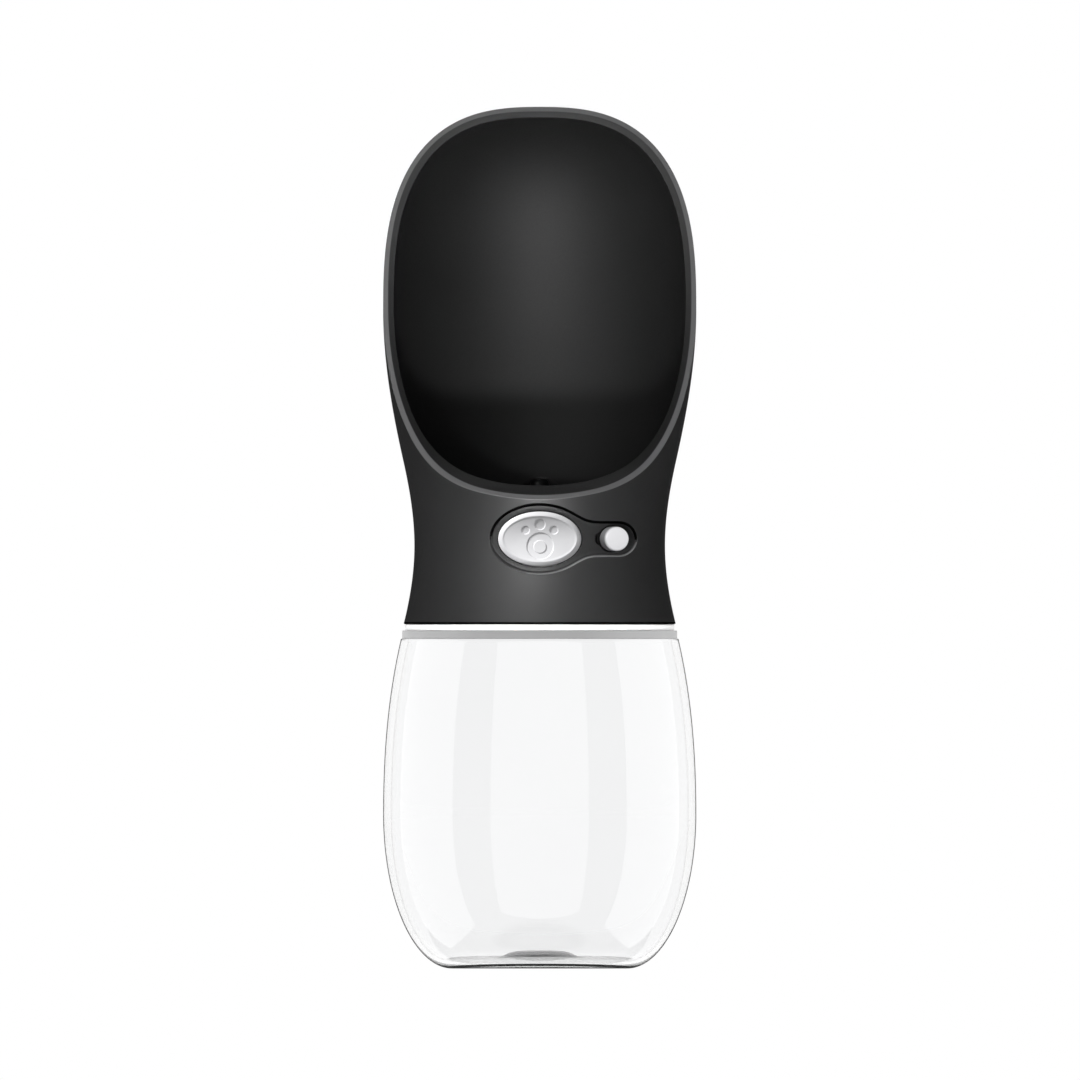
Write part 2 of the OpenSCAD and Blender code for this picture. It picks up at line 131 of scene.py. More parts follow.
class Meridian:
    """A surface of revolution about Z, from its meridian (r, z), with a conformal map to the plane."""

    def __init__(self, rz, grow, side):
        self.rz = np.asarray(rz, float)
        d = np.diff(self.rz, axis=0)
        ds = np.linalg.norm(d, axis=1)
        self.s = np.concatenate([[0], np.cumsum(ds)])
        t = np.gradient(self.rz, self.s, axis=0)
        t /= np.linalg.norm(t, axis=1)[:, None]
        self.n = side * np.stack([t[:, 1], -t[:, 0]], 1)
        r = np.maximum(self.rz[:, 0], 1e-6)
        rm = (r[1:] + r[:-1]) / 2
        if grow > 0:  # starts at a pole
            k = int(np.argmax(r > 0.5))
            ln = np.zeros(len(r))
            ln[k] = math.log(r[k])
            ln[k + 1:] = ln[k] + np.cumsum(ds[k:] / rm[k:])
            with np.errstate(divide="ignore"):
                ln[:k] = np.log(np.maximum(r[:k], 1e-9))
            self.ln = ln
        else:
            self.ln = -np.concatenate([[0], np.cumsum(ds / np.maximum(rm, 1e-4))])
        self.grow = grow

    def at_s(self, s):
        return (np.interp(s, self.s, self.rz[:, 0]), np.interp(s, self.s, self.rz[:, 1]))

    def s_of_z(self, z):
        return np.interp(z, self.rz[:, 1], self.s)

    def r_of_z(self, z):
        return np.interp(z, self.rz[:, 1], self.rz[:, 0])

    def normal(self, p):
        """Normals at points on the surface."""
        s = self.s_near(p)
        nr = np.interp(s, self.s, self.n[:, 0])
        nz = np.interp(s, self.s, self.n[:, 1])
        rr = np.maximum(np.hypot(p[:, 0], p[:, 1]), 1e-9)
        n = np.stack([nr * p[:, 0] / rr, nr * p[:, 1] / rr, nz], 1)
        return n / np.linalg.norm(n, axis=1)[:, None]

    def s_near(self, p):
        """Meridian length of the nearest meridian point."""
        q = np.stack([np.hypot(p[:, 0], p[:, 1]), p[:, 2]], 1)
        out = np.empty(len(q))
        for i in range(0, len(q), 2000):
            b = q[i:i + 2000]
            d = ((b[:, None, :] - self.rz[None, ::4, :]) ** 2).sum(2)
            k = np.argmin(d, 1) * 4
            best = np.full(len(b), 1e18)
            sb = np.zeros(len(b))
            for o in range(-5, 5):
                k0 = np.clip(k + o, 0, len(self.rz) - 2)
                a, c = self.rz[k0], self.rz[k0 + 1]
                ac = c - a
                t = np.clip(((b - a) * ac).sum(1) / np.maximum((ac**2).sum(1), 1e-18), 0, 1)
                e = ((a + t[:, None] * ac - b) ** 2).sum(1)
                w = e < best
                best[w] = e[w]
                sb[w] = (self.s[k0] + t * (self.s[k0 + 1] - self.s[k0]))[w]
            out[i:i + 2000] = sb
        return out

    def project(self, p):
        s = self.s_near(p)
        r, z = self.at_s(s)
        rr = np.maximum(np.hypot(p[:, 0], p[:, 1]), 1e-9)
        return np.stack([r * p[:, 0] / rr, r * p[:, 1] / rr, z], 1)

    def plane(self, p, s=None):
        """Conformal image of surface points."""
        s = self.s_near(p) if s is None else s
        rho = np.exp(np.interp(s, self.s, self.ln))
        rr = np.hypot(p[:, 0], p[:, 1])
        tiny = rr < 1e-6
        rr = np.where(tiny, 1.0, rr)
        out = np.stack([rho * p[:, 0] / rr, rho * p[:, 1] / rr], 1)
        out[tiny] = 0
        return out

    def lattice(self, step, s0, s1):
        """Evenly spread points of the surface between two meridian lengths."""
        rows = max(2, int(round((s1 - s0) / (step * 0.866))))
        pts, ss = [], []
        for j, s in enumerate(np.linspace(s0, s1, rows + 1)):
            r, z = self.at_s(s)
            n = int(round(2 * math.pi * r / step))
            if n < 6:
                continue
            a = (np.arange(n) + 0.5 * (j % 2)) * 2 * math.pi / n + 0.37
            pts.append(np.stack([r * np.cos(a), r * np.sin(a), np.full(n, z)], 1))
            ss.append(np.full(n, s))
        return np.vstack(pts), np.concatenate(ss)


# outside of the head
zz = np.arange(HEAD_Z, WIDE_Z, 0.2)
q = np.linspace(0, math.pi / 2, 700)[:-1]
DOME_R, DOME_H = 37.6 - SKIN, TOP_Z - WIDE_Z
dome = np.stack([DOME_R * np.cos(q) ** (2 / DOME_N), WIDE_Z + DOME_H * np.sin(q) ** (2 / DOME_N)], 1)
outer = Meridian(resample(np.vstack([np.stack([head_r(zz), zz], 1), dome, [[1e-4, TOP_Z]]]), step=0.2), -1, 1)

# inside of the trough, from the middle of its floor
TROUGH_IN = [(0, 112.3), (8, 112.35), (15, 112.6), (19, 113.0), (22, 113.65), (24.2, 114.6), (25.8, 115.8),
             (27.1, 117.5), (28.4, 120.2), (29.9, 124.0), (31.7, 130), (33.05, 136.4)]
low = resample(catmull(TROUGH_IN, 24), step=0.2)
zz = np.arange(136.6, WIDE_Z, 0.2)
dome_in = np.stack([(DOME_R - WALL) * np.cos(q) ** (2 / DOME_N),
                    WIDE_Z + (DOME_H - WALL) * np.sin(q) ** (2 / DOME_N)], 1)
prof = resample(np.vstack([low, np.stack([head_r(zz) - WALL, zz], 1), dome_in, [[1e-4, TOP_Z - WALL]]]), step=0.2)
cut = int(np.argmax(prof[:, 1] > 150))
sm = np.stack([gauss_open(prof[:, 0], 9), gauss_open(prof[:, 1], 9)], 1)
w = np.clip((np.arange(len(prof)) - cut) / -60.0, 0, 1)[:, None]
prof = sm * w + prof * (1 - w)
prof[0] = (1e-4, prof[0][1])
inner = Meridian(prof, 1, -1)

# side view of the rim: y as a function of z
RIM = [(-36, 109.2), (-31, 113.15), (-25.6, 116.05), (-19.8, 120.8), (-15, 126.8), (-10.6, 134), (-6.8, 142),
       (-3.8, 150.5), (-1.6, 160), (0, 171), (1.2, 184), (2.2, 198), (2.8, 212)]
rl = resample(catmull(RIM, 24), step=0.2)
rl = np.stack([gauss_open(rl[:, 0], 7), gauss_open(rl[:, 1], 7)], 1)
rim_z, rim_y = rl[:, 1], rl[:, 0]
rim_dy = np.gradient(rim_y, rim_z)


def y_rim(z):
    return np.interp(z, rim_z, rim_y)


def dy_rim(z):
    return np.interp(z, rim_z, rim_dy)


# ------------------------------------------------------------------ mesh building
class Builder:
    def __init__(self):
        self.co, self.no, self.edge, self.faces, self.mat = [], [], [], [], []
        self.area, self.zone = [], 0.0
        self.count = 0

    def add(self, p, n=None, edge=0.0):
        p = np.asarray(p, float).reshape(-1, 3)
        self.co.append(p)
        self.no.append(np.full(p.shape, np.nan) if n is None else np.asarray(n, float).reshape(-1, 3))
        self.edge.append(np.broadcast_to(np.asarray(edge, float), (len(p),)).copy())
        self.area.append(np.broadcast_to(np.asarray(self.zone, float), (len(p),)).copy())
        ids = np.arange(self.count, self.count + len(p))
        self.count += len(p)
        return ids

    def strip(self, a, b, closed=True, mat=0):
        n = len(a)
        for i in range(n if closed else n - 1):
            j = (i + 1) % n
            self.faces.append((int(a[i]), int(a[j]), int(b[j]), int(b[i])))
            self.mat.append(mat if isinstance(mat, int) else int(mat[i]))

    def tris(self, t, mat=0):
        for f in t:
            self.faces.append(tuple(int(v) for v in f))
            self.mat.append(mat)

    def fan(self, loop, centre, mat=0):
        n = len(loop)
        for i in range(n):
            self.faces.append((int(loop[i]), int(loop[(i + 1) % n]), int(centre)))
            self.mat.append(mat)

    def object(self, name, materials, angle=35.0, keep_normals=True, attribute=None):
        co = np.vstack(self.co) * MM
        no = np.vstack(self.no)
        mesh = bpy.data.meshes.new(name)
        mesh.from_pydata(co.tolist(), [], self.faces)
        mesh.update()
        for m in materials:
            mesh.materials.append(m)
        mesh.polygons.foreach_set("material_index", np.array(self.mat, np.int32))
        mesh.polygons.foreach_set("use_smooth", np.ones(len(mesh.polygons), bool))
        import bmesh
        bm = bmesh.new()
        bm.from_mesh(mesh)
        bmesh.ops.recalc_face_normals(bm, faces=bm.faces)
        if bm.calc_volume(signed=True) < 0:
            bmesh.ops.reverse_faces(bm, faces=bm.faces)
        open_edges = sum(1 for e in bm.edges if len(e.link_faces) != 2)
        if open_edges:
            print("OPEN EDGES", name, open_edges)
        bm.to_mesh(mesh)
        bm.free()
        mesh.set_sharp_from_angle(angle=math.radians(angle))
        mesh.update()
        if keep_normals:
            n_loops = len(mesh.loops)
            cn = np.zeros(n_loops * 3, np.float32)
            mesh.corner_normals.foreach_get("vector", cn)
            cn = cn.reshape(-1, 3).astype(float)
            vi = np.zeros(n_loops, np.int32)
            mesh.loops.foreach_get("vertex_index", vi)
            own = no[vi]
            good = ~np.isnan(own[:, 0])
            dot = np.zeros(n_loops)
            dot[good] = (own[good] * cn[good]).sum(1)
            flip = good & (dot < -0.6)
            own[flip] *= -1
            use = good & (np.abs(dot) > 0.6)
            cn[use] = own[use]
            mesh.normals_split_custom_set([tuple(v) for v in cn])
        if attribute:
            at = mesh.attributes.new(attribute, "FLOAT", "POINT")
            at.data.foreach_set("value", np.concatenate(self.edge).astype(np.float32))
            at = mesh.attributes.new("trough", "FLOAT", "POINT")
            at.data.foreach_set("value", np.concatenate(self.area).astype(np.float32))
        ob = bpy.data.objects.new(name, mesh)
        scene.collection.objects.link(ob)
        return ob


def inside(p, loop):
    """Which points of p lie inside a closed polygon."""
    x, y = p[:, 0], p[:, 1]
    res = np.zeros(len(p), bool)
    x0, y0 = loop[:, 0], loop[:, 1]
    x1, y1 = np.roll(x0, -1), np.roll(y0, -1)
    for a, b, c, d in zip(x0, y0, x1, y1):
        if b == d:
            continue
        m = ((b > y) != (d > y)) & (x < (c - a) * (y - b) / (d - b) + a)
        res ^= m
    return res


def fill(build, plane_of, loops, extra, extra_n, keep, spacing, mat=0, normals=None):
    """Triangulates a region between loops (vertex ids with their plane images) and extra points.
    keep(points) says which plane points are in the region."""
    allco = np.vstack(build.co)
    bound = np.concatenate([l[0] for l in loops])
    tree = KDTree(len(bound))
    for k, v in enumerate(bound):
        tree.insert(Vector(allco[v]), k)
    tree.balance()
    if len(extra):
        far = np.array([tree.find(Vector(p))[2] > spacing * 0.62 for p in extra])
        extra, extra_n = extra[far], extra_n[far]
        ep = plane_of(extra)
        ok = keep(ep)
        extra, extra_n, ep = extra[ok], extra_n[ok], ep[ok]
    ids = build.add(extra, extra_n) if len(extra) else np.zeros(0, int)
    pts, edges, back = [], [], []
    for loop_ids, image in loops:
        k = len(pts)
        n = len(loop_ids)
        pts += [Vector(v) for v in image]
        back += [int(v) for v in loop_ids]
        edges += [(k + i, k + (i + 1) % n) for i in range(n)]
    if len(extra):
        pts += [Vector(v) for v in ep]
        back += [int(v) for v in ids]
    vo, _, fo, vorig, _, _ = delaunay_2d_cdt(pts, edges, [], 0, 1e-12)
    vo = np.array([(v[0], v[1]) for v in vo])
    src = [back[o[0]] if len(o) else -1 for o in vorig]
    t = np.array([f for f in fo if len(f) == 3])
    centre = vo[t].mean(1)
    t = t[keep(centre)]
    srcs = np.array(src)[t]
    if (srcs < 0).any():
        print("stray points in fill")
        srcs = srcs[(srcs >= 0).all(1)]
    build.tris(srcs, mat)


def unit(v):
    return v / np.maximum(np.linalg.norm(v, axis=-1, keepdims=True), 1e-12)


def round_section(points, radii, counts):
    """points: list of (n,3) arrays along a section; corners are rounded by a distance on each side.
    Returns section rows and their directions."""
    rows, dirs = [points[0]], [unit(points[1] - points[0])]
    for i in range(1, len(points) - 1):
        p, c, q = points[i - 1], points[i], points[i + 1]
        lp = np.linalg.norm(p - c, axis=1, keepdims=True)
        lq = np.linalg.norm(q - c, axis=1, keepdims=True)
        ra = np.minimum(radii[i - 1], 0.49 * lp)
        rb = np.minimum(radii[i - 1], 0.49 * lq)
        a, b = c + unit(p - c) * ra, c + unit(q - c) * rb
        for t in np.linspace(0, 1, counts[i - 1]):
            rows.append((1 - t) ** 2 * a + 2 * t * (1 - t) * c + t * t * b)
            dirs.append(unit((1 - t) * (c - a) + t * (b - c)))
    rows.append(points[-1])
    dirs.append(unit(points[-1] - points[-2]))
    return rows, dirs


def round_poly(points, radius, seg=4, closed=False):
    """A 2-D outline with its corners rounded. radius may be a number or one per point."""
    p = [np.array(q, float) for q in points]
    n = len(p)
    rad = [radius] * n if np.isscalar(radius) else list(radius)
    out = []
    for i in range(n):
        if not closed and i in (0, n - 1):
            out.append(p[i])
            continue
        a, c, b = p[i - 1], p[i], p[(i + 1) % n]
        la, lb = np.linalg.norm(a - c), np.linalg.norm(b - c)
        d = min(rad[i], 0.49 * la, 0.49 * lb)
        if d < 1e-4:
            out.append(c)
            continue
        u, v = c + (a - c) / la * d, c + (b - c) / lb * d
        for t in np.linspace(0, 1, seg + 1):
            out.append((1 - t) ** 2 * u + 2 * t * (1 - t) * c + t * t * v)
    return np.array(out)


def circle_points(r, z, n, x0=0.0, y0=0.0):
    a = np.arange(n) * 2 * math.pi / n
    return np.stack([x0 + r * np.cos(a), y0 + r * np.sin(a), np.full(n, float(z))], 1)


def rings(build, prof, n, mat=0, first=None, last=None, edge=0.0):
    """Rings of n points for each (r, z), joined in order. first and last join onto existing loops."""
    prev, out = first, []
    for r, z in prof:
        ids = build.add(circle_points(r, z, n), edge=edge)
        if prev is not None:
            build.strip(prev, ids, mat=mat)
        prev = ids
        out.append(ids)
    if last is not None:
        build.strip(prev, last, mat=mat)
    return out


def lathe_object(name, prof, n, materials, closed=True, angle=35.0, place=None, mats=None):
    """Object turned from a profile: closed like a ring, or running from axis to axis."""
    b = Builder()
    prof = [tuple(p) for p in prof]
    poles = [p for p in (prof[0], prof[-1]) if abs(p[0]) < 1e-6] if not closed else []
    body = [p for p in prof if abs(p[0]) > 1e-6] if not closed else prof
    rows = []
    for r, z in body:
        rows.append(b.add(circle_points(r, z, n)))
    for i in range(len(rows) - 1):
        b.strip(rows[i], rows[i + 1], mat=mats[i] if mats else 0)
    if closed:
        b.strip(rows[-1], rows[0], mat=mats[-1] if mats else 0)
    else:
        for p, row in ((prof[0], rows[0]), (prof[-1], rows[-1])):
            c = b.add([[0, 0, p[1]]])
            b.fan(row, c[0])
    if place is not None:
        b.co = [place(c) for c in b.co]
    return b.object(name, materials, angle, keep_normals=False)


# ------------------------------------------------------------------ head
head = Builder()
N = 360       # columns of the turned parts
NR = 760      # points round the rim

rim_u = np.concatenate([[0], np.cumsum(np.linalg.norm(np.diff(rl, axis=0), axis=1))])


def unroll(p):
    return np.stack([p[:, 0], np.interp(p[:, 2], rim_z, rim_u)], 1)


def reroll(v):
    z = np.interp(v[:, 1], rim_u, rim_z)
    return np.stack([v[:, 0], y_rim(z), z], 1)


def sheet_normal(p):
    d = dy_rim(p[:, 2])
    n = np.stack([np.zeros(len(p)), -np.ones(len(p)), d], 1)
    return unit(n)


def rim_loop(mer, n):
    s = np.linspace(0, mer.s[-1], 40000)
    r, z = mer.at_s(s)
    pos = np.where(r * r - y_rim(z) ** 2 > 0)[0]
    lo, hi = s[pos[0]], s[pos[-1]]
    u = np.linspace(0, 1, 6000)
    s = lo + (hi - lo) * (1 - np.cos(np.pi * u)) / 2
    r, z = mer.at_s(s)
    y = y_rim(z)
    x = np.sqrt(np.maximum(r * r - y * y, 0))
    x[0] = x[-1] = 0
    half = resample(np.stack([x, y, z], 1), n=n // 2 + 1)
    return np.vstack([half, half[-2:0:-1] * [-1, 1, 1]])


def loop_tangent(p):
    return unit(np.roll(p, -1, 0) - np.roll(p, 1, 0))


def loop_out(v):
    """Outward normals of a closed loop in the plane."""
    t = loop_tangent(v)
    n = np.stack([t[:, 1], -t[:, 0]], 1)
    w = np.roll(v, -1, 0)
    return n if (v[:, 0] * w[:, 1] - w[:, 0] * v[:, 1]).sum() > 0 else -n


def away(p, surface_n, from_n):
    """Directions in a surface, square to a loop, that lead away from the side from_n points to."""
    d = unit(np.cross(surface_n, loop_tangent(p)))
    return d * np.sign(-(d * from_n).sum(1))[:, None]


corner_out = rim_loop(outer, NR)
corner_in = rim_loop(inner, NR)
CHAMFER_RUN, CHAMFER_DROP = 1.2, 0.42
run = CHAMFER_RUN
flat_edge = unroll(corner_out)
flat_edge = flat_edge - run * loop_out(flat_edge)
flat_in = unroll(corner_in)
d_out = away(corner_out, outer.normal(corner_out), sheet_normal(corner_out))
d_in = away(corner_in, inner.normal(corner_in), sheet_normal(corner_in))
sec = [outer.project(corner_out + (CHAMFER_DROP + 0.22) * d_out),
       outer.project(corner_out + CHAMFER_DROP * d_out),
       reroll(flat_edge),
       reroll(flat_edge * 0.75 + flat_in * 0.25),
       reroll(flat_edge * 0.5 + flat_in * 0.5),
       reroll(flat_edge * 0.25 + flat_in * 0.75),
       corner_in,
       inner.project(corner_in + 0.8 * d_in)]
rows, dirs = round_section(sec, [0.16, 0.2, 0.2, 0.2, 0.2, 0.38], [4, 4, 2, 2, 2, 6])
# edge_of marks the rim's outer bevel for a painted highlight (paler colour); band_of marks its flat face for painted
# shade (darker colour)
edge_of = [0.0] + [1.0] * 4 + [1.0, 0.7, 0.3, 0.0] + [0.0] * 13
band_of = [0.0] * 5 + [0.0, 0.3, 0.7, 1.0] + [1.0] * 6 + [1.0, 0.8, 0.6, 0.4, 0.2, 0.0] + [0.0]
mid = len(rows) // 2
nn = [unit(np.cross(loop_tangent(r), d)) for r, d in zip(rows, dirs)]
sg = np.sign((nn[10] * sheet_normal(rows[10])).sum(1).mean())
head_band = []  # (ids, band value)
rim_ids = []
for k, (r, v) in enumerate(zip(rows, nn)):
    v = v * sg
    if k == 0:
        v = outer.normal(r)
    if k == len(rows) - 1:
        v = inner.normal(r)
    head.zone = min(1.0, max(0.0, (k - 17) / 4.0))
    rim_ids.append(head.add(r, v, edge=edge_of[k] - band_of[k]))
for a, b in zip(rim_ids[:-1], rim_ids[1:]):
    head.strip(a, b)
loop_a, loop_e = rim_ids[0], rim_ids[-1]
head.zone = 0.0

# --- recess round the button and the lock, drawn in the front view
t = np.radians(np.linspace(180, 50.7, 200))
top = [np.stack([12 * np.cos(t), 8.5 * np.sin(t)], 1),
       np.array([(9.6, 5.45), (11.2, 4.66), (12.8, 4.3), (14.6, 4.2), (16.5, 4.2)])]
t = np.radians(np.linspace(90, 0, 80))
top.append(np.stack([19.1 + 4.2 * np.cos(t), 4.2 * np.sin(t)], 1))
top = np.vstack(top)
outline = np.vstack([top, top[-2:0:-1] * [1, -1]])
outline = resample(outline, n=1600, closed=True)
outline = np.stack([gauss_closed(outline[:, 0], 9), gauss_closed(outline[:, 1], 9)], 1)
NP = 420
outline = resample(outline, n=NP, closed=True)
out2 = loop_out(outline)


def front(v, h, floor=POCKET_R, depth=1.3):
    """Front-view points (x, z from the key line) at share h / depth of the way down to the floor."""
    z = v[:, 1] + KEY_Z
    f = h / depth
    r = head_r(z) * (1 - f) + floor * f
    return np.stack([v[:, 0], -np.sqrt(r * r - v[:, 0] ** 2), z], 1)


# The wall is a plain ramp at the lower right, and stands over a narrow groove at the upper left.
RAMP = [(0.40, 0), (0.20, 0), (0.08, 0.02), (0.02, 0.08), (-0.05, 0.2), (-0.14, 0.42), (-0.24, 0.68),
        (-0.36, 0.94), (-0.48, 1.13), (-0.60, 1.24), (-0.72, 1.295), (-0.84, 1.3)]
GROOVE = [(0.45, 0), (0.25, 0), (0.14, 0.0), (0.11, 0.01), (0.09, 0.05), (0.09, 0.9), (0.07, 1.75),
          (0.02, 1.88), (-0.44, 1.88), (-0.50, 1.8), (-0.52, 1.36), (-0.58, 1.3)]
lean = np.clip(0.56 + out2 @ np.array([0.06, 1.3]), 0, 1)
lean = gauss_closed(lean * lean * (3 - 2 * lean), 6)
prow = [front(outline + (da * (1 - lean) + db * lean)[:, None] * out2, ha * (1 - lean) + hb * lean)
        for (da, ha), (db, hb) in zip(RAMP, GROOVE)]
# painted highlight: this mask sets rim values up to 2 on the recess's lower-right lip, a pale painted highlight line
lip_highlight = (1 - lean) * np.clip(1.08 + 1.05 * out2[:, 0], 0, 1)
pk_ids = []
for k, r in enumerate(prow):
    if k == 0:
        nrm = outer.normal(r)
    elif k >= len(prow) - 1:
        nrm = unit(r * [1, 1, 0])
    else:
        d = unit(prow[k + 1] - prow[k]) + unit(prow[k] - prow[k - 1])
        nrm = unit(np.cross(loop_tangent(r), unit(d)))
        ref = unit(r * [1, 1, 0]) * 0.3 + 0.7 * unit(np.stack([-out2[:, 0], 0 * out2[:, 0], -out2[:, 1]], 1))
        nrm *= np.sign((nrm * ref).sum(1))[:, None]
    pk_ids.append(head.add(r, nrm, edge=lip_highlight * [0, 0, 0.8, 2, 2, 2, 1.7, 1.0, 0.3, 0, 0, 0][k]))
# strips past the lean threshold take the near-black painted shadow (material 1): the groove at the recess's upper
# left
for k, (a, b) in enumerate(zip(pk_ids[:-1], pk_ids[1:])):
    head.strip(a, b, mat=(lean > [1, 1, 1, 0.6, 0.4, 0.42, 0.5, 0.6, 0.72, 0.85, 1][k]))

# --- seat of the strap lug, on the back
NS = 96
seat = round_poly([(-4.52, -4.8), (4.52, -4.8), (4.52, 4.8), (-4.52, 4.8)], 0.5, 5, closed=True)
seat = resample(seat, n=NS, closed=True)
sout = loop_out(seat)


def back(v, f):
    z = v[:, 1] + WAIST_Z
    r = head_r(z) * (1 - f) + 29.3 * f
    a = math.pi / 2 + v[:, 0] / 30.1
    return np.stack([r * np.cos(a), r * np.sin(a), z], 1)


srow = [back(seat + d * sout, f) for d, f in [(0.5, 0), (0.12, 0), (0.02, 0.12), (0, 0.3), (0, 1)]]
st_ids = [head.add(r, outer.normal(r) if k < 2 else None) for k, r in enumerate(srow)]
for a, b in zip(st_ids[:-1], st_ids[1:]):
    head.strip(a, b)
gx, gz = np.meshgrid(np.arange(-4, 4.1, 0.8), np.arange(-4.4, 4.5, 0.8))
pts = back(np.stack([gx.ravel(), gz.ravel()], 1), 1.0)
fill(head, lambda p: np.stack([(np.arctan2(p[:, 1], p[:, 0]) - math.pi / 2) * 30.1, p[:, 2] - WAIST_Z], 1),
     [(st_ids[-1], seat)], pts, unit(pts * [1, 1, 0]), lambda v: inside(v, seat), 0.8)

# --- outside
base_z = HEAD_Z + 0.55
base_ring = circle_points(float(head_r(base_z)), base_z, N)
base_ids = head.add(base_ring, outer.normal(base_ring))
image_base = outer.plane(base_ring)
image_a = outer.plane(rows[0])
image_p = outer.plane(prow[0])
image_s = outer.plane(srow[0])
pts, ss = outer.lattice(0.95, 1.1, outer.s[-1] - 2)
pts = outer.project(pts)
fill(head, outer.plane, [(base_ids, image_base), (loop_a, image_a), (pk_ids[0], image_p), (st_ids[0], image_s)],
     pts, outer.normal(pts),
     lambda v: inside(v, image_base) & ~inside(v, image_a) & ~inside(v, image_p) & ~inside(v, image_s), 0.95)

# --- sump and inside of the trough
SUMP_Y, NU = 21.8, 120
low_k = int(np.argmax(inner.rz[:, 1] > 125))
in_r, in_z = inner.rz[:low_k, 0], inner.rz[:low_k, 1]
phi = np.arange(NU) * 2 * math.pi / NU


def sump(radius, z=None):
    x, y = radius * np.cos(phi), SUMP_Y + radius * np.sin(phi)
    zs = np.interp(np.hypot(x, y), in_r, in_z) if z is None else np.full(NU, z)
    return np.stack([x, y, zs], 1)


SUMP_Z = 112.5
head.zone = 1.0
secs = [sump(6.1), sump(5.5), sump(5.5, SUMP_Z), sump(4.4, SUMP_Z)]
srows, sdirs = round_section(secs, [0.4, 0.5], [5, 5])
sp_ids = []
for k, (r, d) in enumerate(zip(srows, sdirs)):
    nrm = unit(np.cross(loop_tangent(r), d))
    if nrm[:, 2].mean() < 0:
        nrm = -nrm
    if k == 0:
        nrm = inner.normal(r)
    sp_ids.append(head.add(r, nrm))
for a, b in zip(sp_ids[:-1], sp_ids[1:]):
    head.strip(a, b)
image_e = inner.plane(rows[-1])
image_u = inner.plane(srows[0])
pts, ss = inner.lattice(0.95, 0.6, inner.s[-1] - 2)
pts = np.vstack([pts, [[0, 0, inner.rz[0, 1]]]])
fill(head, inner.plane, [(loop_e, image_e), (sp_ids[0], image_u)], pts, inner.normal(pts),
     lambda v: inside(v, image_e) & ~inside(v, image_u), 0.95)
hole = [sump(2.85, SUMP_Z), sump(2.7, SUMP_Z - 0.15), sump(2.7, 110.15)]
prev = sp_ids[-1]
for r in hole:
    ids = head.add(r)
    head.strip(prev, ids)
    prev = ids
roof_hole_ids, roof_hole = prev, hole[-1]
head.zone = 0.0

# --- floor of the recess, its holes, and the chamber behind it
NB = 180
a = np.arange(NB) * 2 * math.pi / NB


def oval_loop(rx, rz_):
    return np.stack([rx * np.cos(a), rz_ * np.sin(a)], 1)


def on_cylinder(v, r):
    return np.stack([v[:, 0], -np.sqrt(r * r - v[:, 0] ** 2), v[:, 1] + KEY_Z], 1)


def slot_loop(r, rad, n=160):
    """The lock's slot at radius r, in 3-D."""
    c = []
    m = n // 4
    for k in range(n):
        # a stadium: two half circles about the slot's ends and two straight sides
        if k < m:
            th, ang = -math.pi / 2 + math.pi * k / m, 36.5
            tt, zt = rad * math.cos(th), rad * math.sin(th)
        elif k < 2 * m:
            f = (k - m) / m
            ang, tt, zt = 36.5 - 6 * f, 0, rad
        elif k < 3 * m:
            th, ang = math.pi / 2 + math.pi * (k - 2 * m) / m, 30.5
            tt, zt = rad * math.cos(th), rad * math.sin(th)
        else:
            f = (k - 3 * m) / m
            ang, tt, zt = 30.5 + 6 * f, 0, -rad
        al = math.radians(ang) + math.asin(tt / r)
        c.append((r * math.sin(al), -r * math.cos(al), KEY_Z + zt))
    return np.array(c)


def flat_cyl(p, r):
    return np.stack([np.arctan2(p[:, 0], -p[:, 1]) * r, p[:, 2]], 1)


b_floor = [on_cylinder(oval_loop(10.2, 6.8), POCKET_R), on_cylinder(oval_loop(10.13, 6.73), POCKET_R - 0.1)]
# painted shade: the recess floor and the walls of its holes are marked -0.5, which darkens their black half way to
# near-black
head.zone = -0.5
l_floor = [slot_loop(POCKET_R, 1.62), slot_loop(POCKET_R - 0.1, 1.56)]
bf = [head.add(b_floor[0], unit(b_floor[0] * [1, 1, 0])), head.add(b_floor[1])]
lf = [head.add(l_floor[0], unit(l_floor[0] * [1, 1, 0])), head.add(l_floor[1])]
head.strip(bf[0], bf[1])
head.strip(lf[0], lf[1])
im_f = flat_cyl(prow[-1], POCKET_R)
im_b, im_l = flat_cyl(b_floor[0], POCKET_R), flat_cyl(l_floor[0], POCKET_R)
gx, gz = np.meshgrid(np.arange(-14, 30, 0.7), np.arange(-9, 9, 0.7))
al = gx.ravel() / POCKET_R
pts = np.stack([POCKET_R * np.sin(al), -POCKET_R * np.cos(al), KEY_Z + gz.ravel()], 1)
fill(head, lambda p: flat_cyl(p, POCKET_R), [(pk_ids[-1], im_f), (bf[0], im_b), (lf[0], im_l)],
     pts, unit(pts * [1, 1, 0]), lambda v: inside(v, im_f) & ~inside(v, im_b) & ~inside(v, im_l), 0.7)

CH_R, CH_Z0, CH_Z1 = 27.4, 94.45, 110.15
b_in, l_in = on_cylinder(oval_loop(10.13, 6.73), CH_R), slot_loop(CH_R, 1.56)
head.zone = 0.0
bi, li = head.add(b_in), head.add(l_in)
head.strip(bf[1], bi)
head.strip(lf[1], li)
ch0, ch1 = circle_points(CH_R, CH_Z0, N), circle_points(CH_R, CH_Z1, N)
c0, c1 = head.add(ch0), head.add(ch1)


def annulus(p):
    rho = np.exp((p[:, 2] - CH_Z0) / CH_R)
    return np.stack([rho * p[:, 0] / CH_R, rho * p[:, 1] / CH_R], 1)


